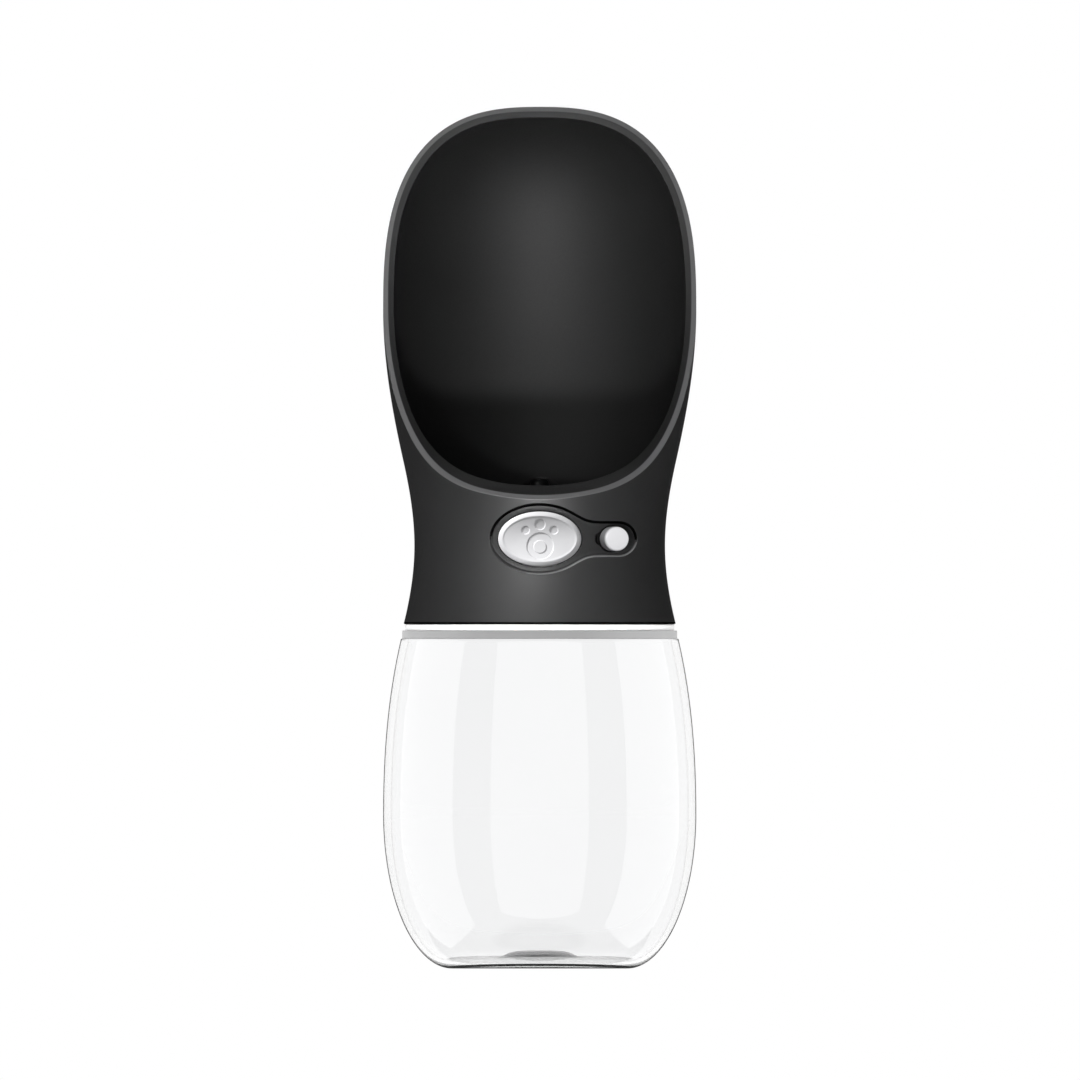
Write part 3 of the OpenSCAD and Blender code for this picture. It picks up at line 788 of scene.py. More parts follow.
ims = [annulus(x) for x in (ch0, ch1, b_in, l_in)]
pts = np.vstack([circle_points(CH_R, z, 90) for z in np.arange(96, 107.5, 1.9)])
fill(head, annulus, list(zip((c0, c1, bi, li), ims)), pts, np.full(pts.shape, np.nan),
     lambda v: inside(v, ims[1]) & ~inside(v, ims[0]) & ~inside(v, ims[2]) & ~inside(v, ims[3]), 1.9)
im_r, im_h = ch1[:, :2], roof_hole[:, :2]
fill(head, lambda p: p[:, :2], [(c1, im_r), (roof_hole_ids, im_h)], np.zeros((0, 3)), np.zeros((0, 3)),
     lambda v: inside(v, im_r) & ~inside(v, im_h), 3)

# --- lower edge, gasket groove, threaded bore and ring groove
foot = float(head_r(HEAD_Z + 0.3))
low_edge = [(foot + 0.02, HEAD_Z + 0.32), (foot - 0.06, HEAD_Z + 0.14), (foot - 0.2, HEAD_Z + 0.04),
            (foot - 0.42, HEAD_Z + 0.005), (30.7, HEAD_Z + 0.005), (30.55, HEAD_Z + 0.05), (30.5, HEAD_Z + 0.15),
            (30.5, 83.45), (30.42, 83.5), (29.08, 83.5), (29.0, 83.45), (29.0, HEAD_Z + 0.15), (28.9, HEAD_Z + 0.02),
            (28.66, HEAD_Z + 0.005), (28.55, HEAD_Z + 0.06), (28.06, 83.12), (28.0, 83.22)]
# the first rows of the lower edge take the near-black painted shadow (material 1) under the skirt
prev = rings(head, low_edge[:4], N, first=base_ids, mat=1)[-1]
prev = rings(head, low_edge[4:], N, first=prev)[-1]


def smooth01(x):
    x = np.clip(x, 0, 1)
    return x * x * (3 - 2 * x)


def ridge_share(theta, z, z0, start, sweep, fade=14.0, base=1.9, tip=0.95, lead=12.0):
    """How far out of the wall the thread stands at an angle and height, from 0 to 1."""
    d = np.mod(np.degrees(theta) - start, 360.0)
    d = np.where(d > sweep + 60, d - 360.0, d)
    along = np.clip(np.minimum(d, sweep - d) / fade, 0, 1)
    zc = z0 + lead * d / 360.0
    across = np.clip((base / 2 - np.abs(z - zc)) / ((base - tip) / 2), 0, 1)
    return smooth01(along) * smooth01(across)


th = np.arange(N) * 2 * math.pi / N
for z in np.arange(83.35, 90.95, 0.14):
    k = sum(ridge_share(th, z, 84.4, 120 * s + 61.5, 118) for s in range(3))
    r = 28.0 - 1.18 * np.clip(k, 0, 1)
    ids = head.add(np.stack([r * np.cos(th), r * np.sin(th), np.full(N, z)], 1))
    head.strip(prev, ids)
    prev = ids
rings(head, [(28.0, 90.98), (29.0, 91.0), (29.0, 92.0), (28.0, 92.0), (28.0, 94.4), (27.95, CH_Z0)], N,
      first=prev, last=c0)

# --- posts for the keeper, standing in the chamber's wall
for dz in (-5.4, 5.4):
    am = math.radians(38.5)
    ex, ey = np.array([math.sin(am), -math.cos(am), 0]), np.array([math.cos(am), math.sin(am), 0])
    c = np.array([0, 0, KEY_Z + dz])
    prev = None
    rowsp = [(0.83, 27.0), (0.83, 23.85), (0.9, 23.8), (1.75, 23.8), (1.9, 23.95), (1.9, 27.9)]
    first = None
    for rr, out_r in rowsp:
        ang = np.arange(40) * 2 * math.pi / 40
        p = c + ex * out_r + np.outer(rr * np.cos(ang), ey) + np.outer(rr * np.sin(ang), [0, 0, 1])
        ids = head.add(p)
        if prev is not None:
            head.strip(prev, ids)
        else:
            first = ids
        prev = ids
    head.fan(first, head.add([c + ex * 27.0])[0])
    head.fan(prev, head.add([c + ex * 27.9])[0])


# ------------------------------------------------------------------ materials
def new_material(name):
    m = bpy.data.materials.new(name)
    m.use_nodes = True
    nt = m.node_tree
    nt.nodes.clear()
    out = nt.nodes.new("ShaderNodeOutputMaterial")
    bs = nt.nodes.new("ShaderNodeBsdfPrincipled")
    nt.links.new(bs.outputs[0], out.inputs["Surface"])
    return m, nt, bs


def node(nt, kind, **inputs):
    n = nt.nodes.new(kind)
    for k, v in inputs.items():
        n.inputs[k].default_value = v
    return n


def noise(nt, scale, detail=3.0, rough=0.55, coord=None):
    """Noise in the object's own coordinates, in metres."""
    if coord is None:
        coord = nt.nodes.new("ShaderNodeTexCoord").outputs["Object"]
    n = node(nt, "ShaderNodeTexNoise", Scale=scale, Detail=detail, Roughness=rough)
    nt.links.new(coord, n.inputs["Vector"])
    return n.outputs["Fac"]


def remap(nt, value, a, b, c, d, smooth=False):
    m = node(nt, "ShaderNodeMapRange")
    m.interpolation_type = "SMOOTHSTEP" if smooth else "LINEAR"
    m.inputs["From Min"].default_value = a
    m.inputs["From Max"].default_value = b
    m.inputs["To Min"].default_value = c
    m.inputs["To Max"].default_value = d
    nt.links.new(value, m.inputs["Value"])
    return m.outputs["Result"]


def colour_mix(nt, fac, a, b):
    m = nt.nodes.new("ShaderNodeMix")
    m.data_type = "RGBA"
    for s, v in ((m.inputs[6], a), (m.inputs[7], b)):
        if isinstance(v, (tuple, list)):
            s.default_value = (*v, 1)
        else:
            nt.links.new(v, s)
    if isinstance(fac, (int, float)):
        m.inputs[0].default_value = fac
    else:
        nt.links.new(fac, m.inputs[0])
    return m.outputs[2]


def math_node(nt, op, a, b=None):
    m = nt.nodes.new("ShaderNodeMath")
    m.operation = op
    for s, v in zip(m.inputs, (a, b)):
        if v is None:
            continue
        if isinstance(v, (int, float)):
            s.default_value = v
        else:
            nt.links.new(v, s)
    return m.outputs[0]


def bump(nt, bs, heights, distance=0.00003, strength=1.0):
    prev = None
    for h, d in heights:
        b = node(nt, "ShaderNodeBump", Strength=strength, Distance=d)
        nt.links.new(h, b.inputs["Height"])
        if prev is not None:
            nt.links.new(prev, b.inputs["Normal"])
        prev = b.outputs["Normal"]
    nt.links.new(prev, bs.inputs["Normal"])


def moulded(name, light, dark, rough, rough_var=0.05, spot_scale=55.0, grain=2600.0, grain_depth=0.000004,
            spec=0.5, coat=0.0, coat_rough=0.3, sss=0.0):
    """Moulded plastic: slow colour drift, fine grain, flow marks in the gloss."""
    m, nt, bs = new_material(name)
    slow = noise(nt, spot_scale, 4.0, 0.6)
    fine = noise(nt, grain, 2.0, 0.5)
    nt.links.new(colour_mix(nt, remap(nt, slow, 0.35, 0.65, 0, 1), dark, light), bs.inputs["Base Color"])
    mix = math_node(nt, "ADD", remap(nt, slow, 0.3, 0.7, rough - rough_var, rough + rough_var),
                    remap(nt, fine, 0.3, 0.7, -rough_var * 0.5, rough_var * 0.5))
    nt.links.new(mix, bs.inputs["Roughness"])
    bump(nt, bs, [(fine, grain_depth), (noise(nt, spot_scale * 1.6, 2.0, 0.4), grain_depth * 6)])
    bs.inputs["Specular IOR Level"].default_value = spec
    bs.inputs["Coat Weight"].default_value = coat
    bs.inputs["Coat Roughness"].default_value = coat_rough
    bs.inputs["Subsurface Weight"].default_value = sss
    if sss:
        bs.inputs["Subsurface Radius"].default_value = (1.0, 0.9, 0.85)
        bs.inputs["Subsurface Scale"].default_value = 0.0015
    return m, nt, bs


# head: satin black, the rim's outer bevel painted paler as a painted highlight and smoother, its flat face painted
# darker as painted shade; the trough's inside and the recess floor also carry painted shade, and the recess's
# lower-right lip a painted highlight line
BLACK_HI, BLACK_LO = (0.030, 0.030, 0.0305), (0.024, 0.024, 0.0245)
m_head, nt, bs = new_material("black_moulding")
slow = noise(nt, 38.0, 4.0, 0.6)
fine = noise(nt, 2400.0, 2.0, 0.5)
att = nt.nodes.new("ShaderNodeAttribute")
att.attribute_name = "rim"
att.attribute_type = "GEOMETRY"
val = att.outputs["Fac"]
att2 = nt.nodes.new("ShaderNodeAttribute")
att2.attribute_name = "trough"
att2.attribute_type = "GEOMETRY"
inside_v = att2.outputs["Fac"]
drift = remap(nt, slow, 0.35, 0.65, 0, 1)
base = colour_mix(nt, drift, BLACK_LO, BLACK_HI)
# painted shade: inside the trough (trough attribute 1) the black is darker than on the outside
base = colour_mix(nt, remap(nt, inside_v, 0, 1, 0, 1), base, colour_mix(nt, drift, (0.010, 0.010, 0.0102), (0.013, 0.013, 0.0132)))
# painted highlight: rim 0 to 1 lightens the rim's bevel, rim 1 to 2 makes the pale line on the recess lip; painted
# shade: rim below 0 darkens the rim's flat face
bevel = remap(nt, val, 0.0, 1.0, 0, 1, True)
flat = remap(nt, val, 0.0, -1.0, 0, 1, True)
# painted shade on the recess floor (trough below 0): darker, and rougher
recess_shade = remap(nt, inside_v, 0.0, -1.0, 0, 1)
base = colour_mix(nt, recess_shade, base, (0.006, 0.006, 0.006))
base = colour_mix(nt, bevel, base, (0.15, 0.15, 0.152))
base = colour_mix(nt, remap(nt, val, 1.0, 2.0, 0, 1), base, (0.60, 0.60, 0.605))
base = colour_mix(nt, flat, base, (0.010, 0.010, 0.0102))
nt.links.new(base, bs.inputs["Base Color"])
rough = math_node(nt, "ADD", remap(nt, slow, 0.3, 0.7, 0.47, 0.51), remap(nt, fine, 0.3, 0.7, -0.03, 0.03))
rough = math_node(nt, "ADD", rough, math_node(nt, "MULTIPLY", remap(nt, inside_v, 0, 1, 0, 1), 0.16))
rough = math_node(nt, "SUBTRACT", rough, math_node(nt, "MULTIPLY", bevel, 0.06))
rough = math_node(nt, "ADD", rough, math_node(nt, "MULTIPLY", recess_shade, 0.35))
nt.links.new(rough, bs.inputs["Roughness"])
bump(nt, bs, [(fine, 0.0000035), (noise(nt, 90.0, 2.0, 0.4), 0.00002)])

# near-black painted shadow on the groove at the upper left of the recess and on the edge under the skirt
m_painted_shadow = moulded("groove_painted_shadow", (0.0025, 0.0025, 0.0025), (0.001, 0.001, 0.001), 0.9, 0.04, 200.0, 2000.0, 0.000008,
                spec=0.03)[0]
m_black = moulded("black_trim", (0.030, 0.030, 0.0305), (0.024, 0.024, 0.0245), 0.48)[0]
m_key = moulded("key_plastic", (0.80, 0.80, 0.815), (0.76, 0.76, 0.775), 0.36, 0.04, 120.0, 3200.0, 0.000003,
                coat=0.15, coat_rough=0.25)[0]
m_works = moulded("milky_plastic", (0.83, 0.83, 0.81), (0.78, 0.78, 0.765), 0.42, 0.05, 80.0, 2200.0, 0.000006)[0]
m_silicone = moulded("white_silicone", (0.94, 0.94, 0.935), (0.90, 0.90, 0.892), 0.55, 0.05, 90.0, 1800.0, 0.000006,
                     sss=0.25)[0]
m_rubber = moulded("grey_rubber", (0.075, 0.075, 0.078), (0.055, 0.055, 0.058), 0.68, 0.05, 150.0, 1500.0, 0.00001,
                   spec=0.35)[0]
# near-black painted shadow on the thin flange round the knob's foot
m_flange_shadow = moulded("flange_painted_shadow", (0.004, 0.004, 0.004), (0.002, 0.002, 0.002), 0.85, 0.05, 300.0, 1800.0, 0.00001,
                  spec=0.1)[0]
# painted shade: the spout is near-black, darker than its own grey, as it stands in the shade at the bottom of the
# trough
m_spout = moulded("spout_plastic", (0.009, 0.009, 0.0095), (0.006, 0.006, 0.0065), 0.36, 0.04, 200.0, 2600.0, 0.000004)[0]

m_steel, nt, bs = new_material("turned_steel")
tc = nt.nodes.new("ShaderNodeTexCoord").outputs["Object"]
mp = node(nt, "ShaderNodeMapping")
mp.inputs["Scale"].default_value = (1.0, 14.0, 1.0)
nt.links.new(tc, mp.inputs["Vector"])
lines = noise(nt, 900.0, 3.0, 0.6, mp.outputs["Vector"])
nt.links.new(colour_mix(nt, remap(nt, lines, 0.3, 0.7, 0, 1), (0.52, 0.53, 0.55), (0.66, 0.67, 0.69)),
             bs.inputs["Base Color"])
nt.links.new(remap(nt, lines, 0.3, 0.7, 0.2, 0.34), bs.inputs["Roughness"])
bump(nt, bs, [(lines, 0.000003)])
bs.inputs["Metallic"].default_value = 1.0

# bottle: clear, with its tint, and a painted dark edge where the wall is seen end on
m_clear, nt, bs = new_material("clear_bottle")
lw = node(nt, "ShaderNodeLayerWeight", Blend=0.5)
# painted shade: the base colour turns dark grey where the wall is seen end on, for the bottle's dark outline
edge_f = remap(nt, lw.outputs["Facing"], 0.84, 0.93, 0, 1, True)
drift = remap(nt, noise(nt, 30.0, 2.0, 0.5), 0.3, 0.7, 0, 0.6)
tint = colour_mix(nt, drift, (0.962, 0.964, 0.966), (0.950, 0.952, 0.955))
nt.links.new(colour_mix(nt, edge_f, tint, (0.36, 0.34, 0.34)), bs.inputs["Base Color"])
bs.inputs["Transmission Weight"].default_value = 1.0
bs.inputs["IOR"].default_value = 1.46
nt.links.new(remap(nt, noise(nt, 400.0, 2.0, 0.5), 0.3, 0.7, 0.0, 0.02), bs.inputs["Roughness"])

# the collar is left frosted by the mould
m_frost, nt, bs = new_material("frosted_collar")
fr = noise(nt, 2600.0, 2.0, 0.5)
nt.links.new(colour_mix(nt, remap(nt, noise(nt, 60.0, 3.0, 0.5), 0.35, 0.65, 0, 1), (0.58, 0.58, 0.583),
                        (0.62, 0.62, 0.623)), bs.inputs["Base Color"])
nt.links.new(remap(nt, fr, 0.3, 0.7, 0.42, 0.55), bs.inputs["Roughness"])
bs.inputs["Transmission Weight"].default_value = 0.1
bs.inputs["IOR"].default_value = 1.46
bump(nt, bs, [(fr, 0.000006)])

# underside: painted shade, dark grey at the mould's gate and a lighter grey over the floor out to the foot, and a
# near-black painted shadow on the foot itself where it meets the floor.
def underside_shade(name, dark, light, clear, rough, scale, spec=0.5):
    m, nt, bs = new_material(name)
    fr = noise(nt, scale, 5.0, 0.65)
    base = colour_mix(nt, remap(nt, fr, 0.35, 0.65, 0, 1), (dark, dark, dark), (light, light, light))
    bs.inputs["Transmission Weight"].default_value = clear
    nt.links.new(base, bs.inputs["Base Color"])
    nt.links.new(remap(nt, fr, 0.3, 0.7, rough - 0.06, rough + 0.06), bs.inputs["Roughness"])
    bs.inputs["IOR"].default_value = 1.46
    bs.inputs["Specular IOR Level"].default_value = spec
    bump(nt, bs, [(fr, 0.000005)])
    return m


# painted shade on the gate and the floor of the underside, and a near-black painted shadow on the foot where it
# meets the floor
m_under = underside_shade("gate_painted_shade", 0.02, 0.07, 0.55, 0.34, 500.0, 0.2)
m_wing = underside_shade("floor_painted_shade", 0.38, 0.54, 1.0, 0.12, 350.0)
m_foot = underside_shade("foot_painted_shadow", 0.003, 0.010, 0.1, 0.4, 700.0)

# ------------------------------------------------------------------ head object
head_ob = head.object("trough_head", [m_head, m_painted_shadow], 30.0, True, "rim")
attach(head_ob, "head")
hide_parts("head_shell")

# ------------------------------------------------------------------ bottle
NBT = 256
BR, MID, FOOT_R = 37.6 - SKIN, 37.0, 21.0
tb = Builder()
q = np.linspace(0, math.pi / 2, 90)
side_z = np.linspace(MID, 79.0, 70)[1:]


def bottle_side(z):
    return hermite(z, MID, BR, 0, 79.1, 33.3, -0.235)


FLOOR_T = 1.4
PUNT = [(18.5, 0), (16, 0.25), (11, 0.7), (8.4, 1.15), (7.3, 1.75), (6.5, 2.3), (5.3, 2.7), (3.2, 2.95), (0, 3.0)]
PUNT_IN = [(19.5, 0), (16, 0.12), (11.4, 0.45), (9.4, 0.85), (8.4, 1.4), (7.4, 2.05), (5.8, 2.55), (3.2, 2.8),
           (0, 2.85)]
under = resample(catmull(PUNT, 8), step=0.35)[::-1]
under[0] = (1e-9, under[0][1])
outer_b = [tuple(p) for p in under[1:]]
outer_b += [(FOOT_R + (BR - FOOT_R) * math.sin(t), MID * (1 - math.cos(t))) for t in q]
outer_b += [(float(bottle_side(z)), z) for z in side_z]
collar = round_poly([(33.28, 79.08), (33.0, 79.12), (33.0, 81.1), (26.4, 81.1), (26.4, 82.3)],
                    [0, 0.14, 0.22, 0.35, 0], 4)
outer_b += [tuple(p) for p in collar]
b_rows, k_rows = [], []
for r, z in outer_b:
    b_rows.append(tb.add(circle_points(r, z, NBT)))
    k_rows.append((r, z))
thb = np.arange(NBT) * 2 * math.pi / NBT
for z in np.arange(82.4, 91.05, 0.13):
    k = sum(ridge_share(thb, z, 84.0, 120 * s, 150) for s in range(3))
    r = 26.4 + 1.18 * np.clip(k, 0, 1)
    b_rows.append(tb.add(np.stack([r * np.cos(thb), r * np.sin(thb), np.full(NBT, z)], 1)))
    k_rows.append((26.4, z))
lip = round_poly([(26.4, 91.1), (26.4, 91.6), (24.4, 91.6), (24.4, 90.5), (24.4, 83), (24.4, 81.3), (24.9, 79.4),
                  (26.0, 79.12), (31.52, 79.1), (float(bottle_side(78.3)) - 1.8, 78.3),
                  (float(bottle_side(77.0)) - 1.8, 77.0)],
                 [0, 0.45, 0.45, 0.3, 0.3, 0.6, 0.6, 0.6, 0.2, 0.4, 0], 5)
inner_b = [tuple(p) for p in lip]
inner_b += [(float(bottle_side(z)) - 1.8, z) for z in np.linspace(76.4, MID, 60)]
inner_b += [(FOOT_R + (BR - 1.8 - FOOT_R) * math.sin(t), MID - (MID - FLOOR_T) * math.cos(t)) for t in q[::-1][1:]]
inside_p = resample(catmull([(r, z + FLOOR_T) for r, z in PUNT_IN], 8), step=0.35)[1:-1]
inner_b += [tuple(p) for p in inside_p]
for r, z in inner_b:
    b_rows.append(tb.add(circle_points(r, z, NBT)))
    k_rows.append((r, z))
for i in range(len(b_rows) - 1):
    (ra, za), (rb, zb) = k_rows[i], k_rows[i + 1]
    r_far, z_far = max(ra, rb), max(za, zb)
    outside = i < len(under) + 40
    on_collar = 79.1 <= min(za, zb) and z_far <= 81.2 and min(ra, rb) > 32.2
    gate = outside and r_far < 8.7
    wing = outside and 8.7 <= r_far < 21.05 and z_far < 3
    ring = outside and r_far >= 21.05 and z_far < 0.26
    tb.strip(b_rows[i], b_rows[i + 1], mat=1 if on_collar else 2 if gate else 3 if wing else 4 if ring else 0)
tb.fan(b_rows[0], tb.add([[0, 0, 3.0]])[0], mat=2)
tb.fan(b_rows[-1], tb.add([[0, 0, 4.25]])[0])
bottle_ob = tb.object("clear_bottle", [m_clear, m_frost, m_under, m_wing, m_foot], 40.0, False)
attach(bottle_ob, "bottle")
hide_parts("bottle")

# ------------------------------------------------------------------ gasket
gp = round_poly([(28.32, 81.12), (32.2, 81.12), (32.32, 81.5), (32.32, 82.2), (32.2, 82.58), (30.44, 82.58),
                 (30.4, 83.42), (29.1, 83.42), (29.06, 82.58), (28.32, 82.58)],
                [0.2, 0.25, 0.2, 0.2, 0.25, 0.15, 0.3, 0.3, 0.15, 0.2], 4, closed=True)
gasket_ob = lathe_object("silicone_gasket", gp, 256, [m_silicone], True, 50.0)
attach(gasket_ob, "gasket")
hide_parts("neck_gasket")

# ------------------------------------------------------------------ button
NA = 420
ba = np.arange(NA) * 2 * math.pi / NA
RX, RZ, FACE_R = 9.98, 6.58, 30.8


def sstep(x, a, b):
    t = np.clip((x - a) / (b - a), 0, 1)
    return t * t * (3 - 2 * t)


def button_relief(x, z, e):
    """Depth of the face below the cylinder it is cut from. e is the distance from the edge."""
    edge = np.where(e < 0.22, 0.22 - np.sqrt(np.maximum(0.22**2 - (0.22 - e) ** 2, 0)), 0)
    edge = edge + 0.42 * np.clip(1 - e / 1.08, 0, 1) ** 1.35
    bowl = np.clip(1 - (x / 8.9) ** 2 - (z / 5.5) ** 2, 0, 1)
    hollow = np.clip(1 - (x / 8.9) ** 2, 0, 1) * np.clip(1 - (z / 5.5) ** 2, 0, 1)
    dish = 0.10 * sstep(e, 1.0, 1.6) + 0.95 * bowl + 0.38 * hollow
    pad = np.hypot(x - 0.1, z + 1.7)
    disc = np.hypot(x - 0.05, z + 1.9)
    paw = 0.24 * (1 - sstep(pad, 3.08, 3.3)) * sstep(disc, 1.42, 1.62)
    for cx, cz, cr in ((0.05, 3.5, 1.3), (-3.4, 2.1, 0.98), (3.4, 2.1, 0.98)):
        d = np.hypot(x - cx, z - cz)
        paw = np.maximum(paw, 0.23 * (1 - sstep(d, cr - 0.12, cr + 0.1)))
    return edge + dish + paw


def oval_distance(x, z):
    """Distance from the oval's edge, near enough for its rim."""
    u = np.sqrt((x / RX) ** 2 + (z / RZ) ** 2)
    g = np.sqrt((x / RX**2) ** 2 + (z / RZ**2) ** 2)
    return np.where(u > 0.05, u * (1 - u) / np.maximum(g, 1e-6), RZ)


bb = Builder()
us = np.concatenate([np.linspace(0.012, 0.82, 110)[:-1], 1 - np.linspace(0.18 ** 0.6, 0, 44) ** (1 / 0.6)])
rows_b = []
for u in us:
    x, z = RX * u * np.cos(ba), RZ * u * np.sin(ba)
    e = np.maximum(oval_distance(x, z), 0)
    rr = FACE_R - button_relief(x, z, e)
    rows_b.append(np.stack([x, -np.sqrt(rr * rr - x * x), z + KEY_Z], 1))


def oval_row(rx, rz_, radius, zc=KEY_Z):
    x, z = rx * np.cos(ba), rz_ * np.sin(ba)
    return np.stack([x, -np.sqrt(radius * radius - x * x), z + zc], 1)


def ring_row(r, y, zc=102.5):
    return np.stack([r * np.cos(ba), np.full(NA, y), zc + r * np.sin(ba)], 1)


for rad in (30.1, 29.4, 28.6, 27.6, 26.6, 25.75):
    rows_b.append(oval_row(RX, RZ, rad))
rows_b.append(oval_row(RX - 0.12, RZ - 0.12, 25.56))
rows_b.append(oval_row(RX - 0.35, RZ - 0.35, 25.5))
rows_b.append(oval_row(RX - 1.15, RZ - 1.15, 25.5))
rows_b.append(oval_row(RX - 1.35, RZ - 1.35, 25.6))
rows_b.append(oval_row(RX - 1.4, RZ - 1.4, 26.0))
rows_b.append(oval_row(RX - 1.4, RZ - 1.4, 28.3))
rows_b.append(oval_row(RX - 1.9, RZ - 1.9, 28.78))
for f in (0.3, 0.6, 0.85):
    o = oval_row(RX - 1.9, RZ - 1.9, 28.78)
    c = ring_row(3.3, -28.7)
    v = o * (1 - f) + c * f
    v[:, 1] = -np.sqrt(28.78**2 - v[:, 0] ** 2)
    rows_b.append(v)
c = ring_row(3.1, 0)
c[:, 1] = -np.sqrt(28.6**2 - c[:, 0] ** 2)
rows_b.append(c)
for r, y in ((3.0, -28.0), (3.0, -22.75), (2.85, -22.6), (1.75, -22.6), (1.55, -22.8), (1.53, -27.0), (1.4, -27.18)):
    rows_b.append(ring_row(r, y))
ids_b = [bb.add(r) for r in rows_b]
for i in range(len(ids_b) - 1):
    bb.strip(ids_b[i], ids_b[i + 1])
x0 = np.array([[0.0, -(FACE_R - float(button_relief(np.array(0.0), np.array(0.0), np.array(6.5)))), KEY_Z]])
bb.fan(ids_b[0], bb.add(x0)[0])
bb.fan(ids_b[-1], bb.add([[0, -27.18, 102.5]])[0])
button_ob = bb.object("paw_button", [m_key], 50.0, False)
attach(button_ob, "button")
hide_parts("button_cap")

# ------------------------------------------------------------------ lock knob
NK = 160
ka = np.arange(NK) * 2 * math.pi / NK
kk = Builder()
am = math.radians(36.5)
k_out, k_tan = np.array([math.sin(am), -math.cos(am), 0.0]), np.array([math.cos(am), math.sin(am), 0.0])


def knob_row(rt, rz_, out_r, share=0.0):
    """An oval at distance out_r from the Z axis, along the knob's own axis."""
    t, z = rt * np.cos(ka), rz_ * np.sin(ka)
    return np.outer(out_r + share * 0 + 0 * t, k_out) + np.outer(t, k_tan) + np.outer(z + KEY_Z, [0, 0, 1])


KT, KZ, KTOP = 3.58, 2.93, 31.58
kp = []
for r, o in ((1.24, 27.4), (1.24, 29.9), (1.1, 30.0)):
    kp.append((r, r, o))
kp = kp[::-1]
side_k = [(KT, KZ, 29.4), (KT, KZ, 30.2), (KT, KZ, KTOP - 0.75)]
for t in np.linspace(0.12, 1, 7):
    c, s = math.cos(t * math.pi / 2), math.sin(t * math.pi / 2)
    side_k.append((KT - 0.55 * (1 - c), KZ - 0.55 * (1 - c), KTOP - 0.75 + 0.55 * s))
face_k = [(f * (KT - 0.55), f * (KZ - 0.55), KTOP - 0.2 + 0.2 * (1 - f**2)) for f in np.linspace(0.93, 0.04, 16)]
seq = [(1.1, 1.1, 30.0), (1.24, 1.24, 29.9), (1.24, 1.24, 27.45), (1.28, 1.28, 27.4), (1.4, 1.4, 27.4),
       (1.44, 1.44, 27.45), (1.44, 1.44, 28.82), (KT + 0.32, KZ + 0.27, 28.82), (KT + 0.38, KZ + 0.33, 28.86),
       (KT + 0.38, KZ + 0.33, 28.92), (KT + 0.32, KZ + 0.27, 28.96), (KT - 0.1, KZ - 0.1, 28.96),
       (KT - 0.02, KZ - 0.02, 29.04)] + side_k + face_k
ids_k = [kk.add(knob_row(*v)) for v in seq]
for i in range(len(ids_k) - 1):
    # strips 6 to 10, the flange round the knob's foot, take the near-black painted shadow
    kk.strip(ids_k[i], ids_k[i + 1], mat=1 if 6 <= i <= 10 else 0)
kk.fan(ids_k[0], kk.add([k_out * 30.0 + np.array([0, 0, KEY_Z])])[0])
kk.fan(ids_k[-1], kk.add([k_out * KTOP + np.array([0, 0, KEY_Z])])[0])
knob_ob = kk.object("lock_knob_cap", [m_key, m_flange_shadow], 40.0, False)
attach(knob_ob, "lock")
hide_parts("lock_knob")

# ------------------------------------------------------------------ spout
sp = round_poly([(1.2, 107.7), (2.4, 107.7), (2.4, 115.3), (2.3, 116.5), (1.95, 117.2), (1.3, 117.5), (1.15, 117.2)],
                [0.2, 0.2, 0.5, 0.5, 0.4, 0.15, 0.2], 5, closed=True)

# ------------------------------------------------------------------ return spring
turns, steps, kw = 5, 36, 14
sb = Builder()
prev = None
first = None
for i in range(turns * steps + 1):
    t = i / (turns * steps)
    am = 2 * math.pi * turns * t
    s0, s1 = 14.95 + 0.35, 22.95 - 0.35
    y = s0 + (s1 - s0) * (t * 0.35 if t < 0.1 else 1 - (1 - t) * 0.35 if t > 0.9 else 0.035 + (t - 0.1) * 0.93 / 0.8)
    bw = np.arange(kw) * 2 * math.pi / kw
    rr = 3.5 + 0.35 * np.cos(bw)
    # turned from +Z to +Y, as the plunger is
    p = np.stack([rr * math.cos(am), y + 0.35 * np.sin(bw), 102.5 - rr * math.sin(am)], 1)
    ids = sb.add(p)
    if prev is not None:
        sb.strip(prev, ids)
    else:
        first = ids
    prev = ids
sb.fan(first, sb.add([sb.co[0].mean(0)])[0])
sb.fan(prev, sb.add([sb.co[turns * steps].mean(0)])[0])
spring_ob = sb.object("coil_spring", [m_steel], 60.0, False)
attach(spring_ob, "head")
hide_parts("return_spring")
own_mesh(spring_ob)

# ------------------------------------------------------------------ the remaining CAD nodes
FINISH = {
    "strap_lug": m_black, "valve_body": m_works, "base_o_ring": m_rubber, "retaining_ring": m_steel,
    "outlet_spout": m_spout, "outlet_grommet": m_rubber, "barrel_plug": m_works, "barrel_plug_o_ring": m_rubber,
    "stem_gland": m_works, "stem_seal": m_rubber, "lock_keeper": m_works, "keeper_screws": m_steel,
    "plunger_stem": m_steel, "valve_plug": m_rubber, "spring_washer": m_steel, "stem_clip": m_steel,
    # the lock slider is black as painted shade for the slot it shows through
    "lock_slider": m_black,
}
for name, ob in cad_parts.items():
    if name not in FINISH or ob.type != "MESH":
        continue
    ob.data.materials.clear()
    ob.data.materials.append(FINISH[name])
    if name in ("strap_lug", "outlet_spout"):
        bv = ob.modifiers.new("edges", "BEVEL")
        bv.width = 0.00035 if name == "strap_lug" else 0.00012
        bv.segments = 3
        bv.limit_method = "ANGLE"
        bv.angle_limit = math.radians(32)

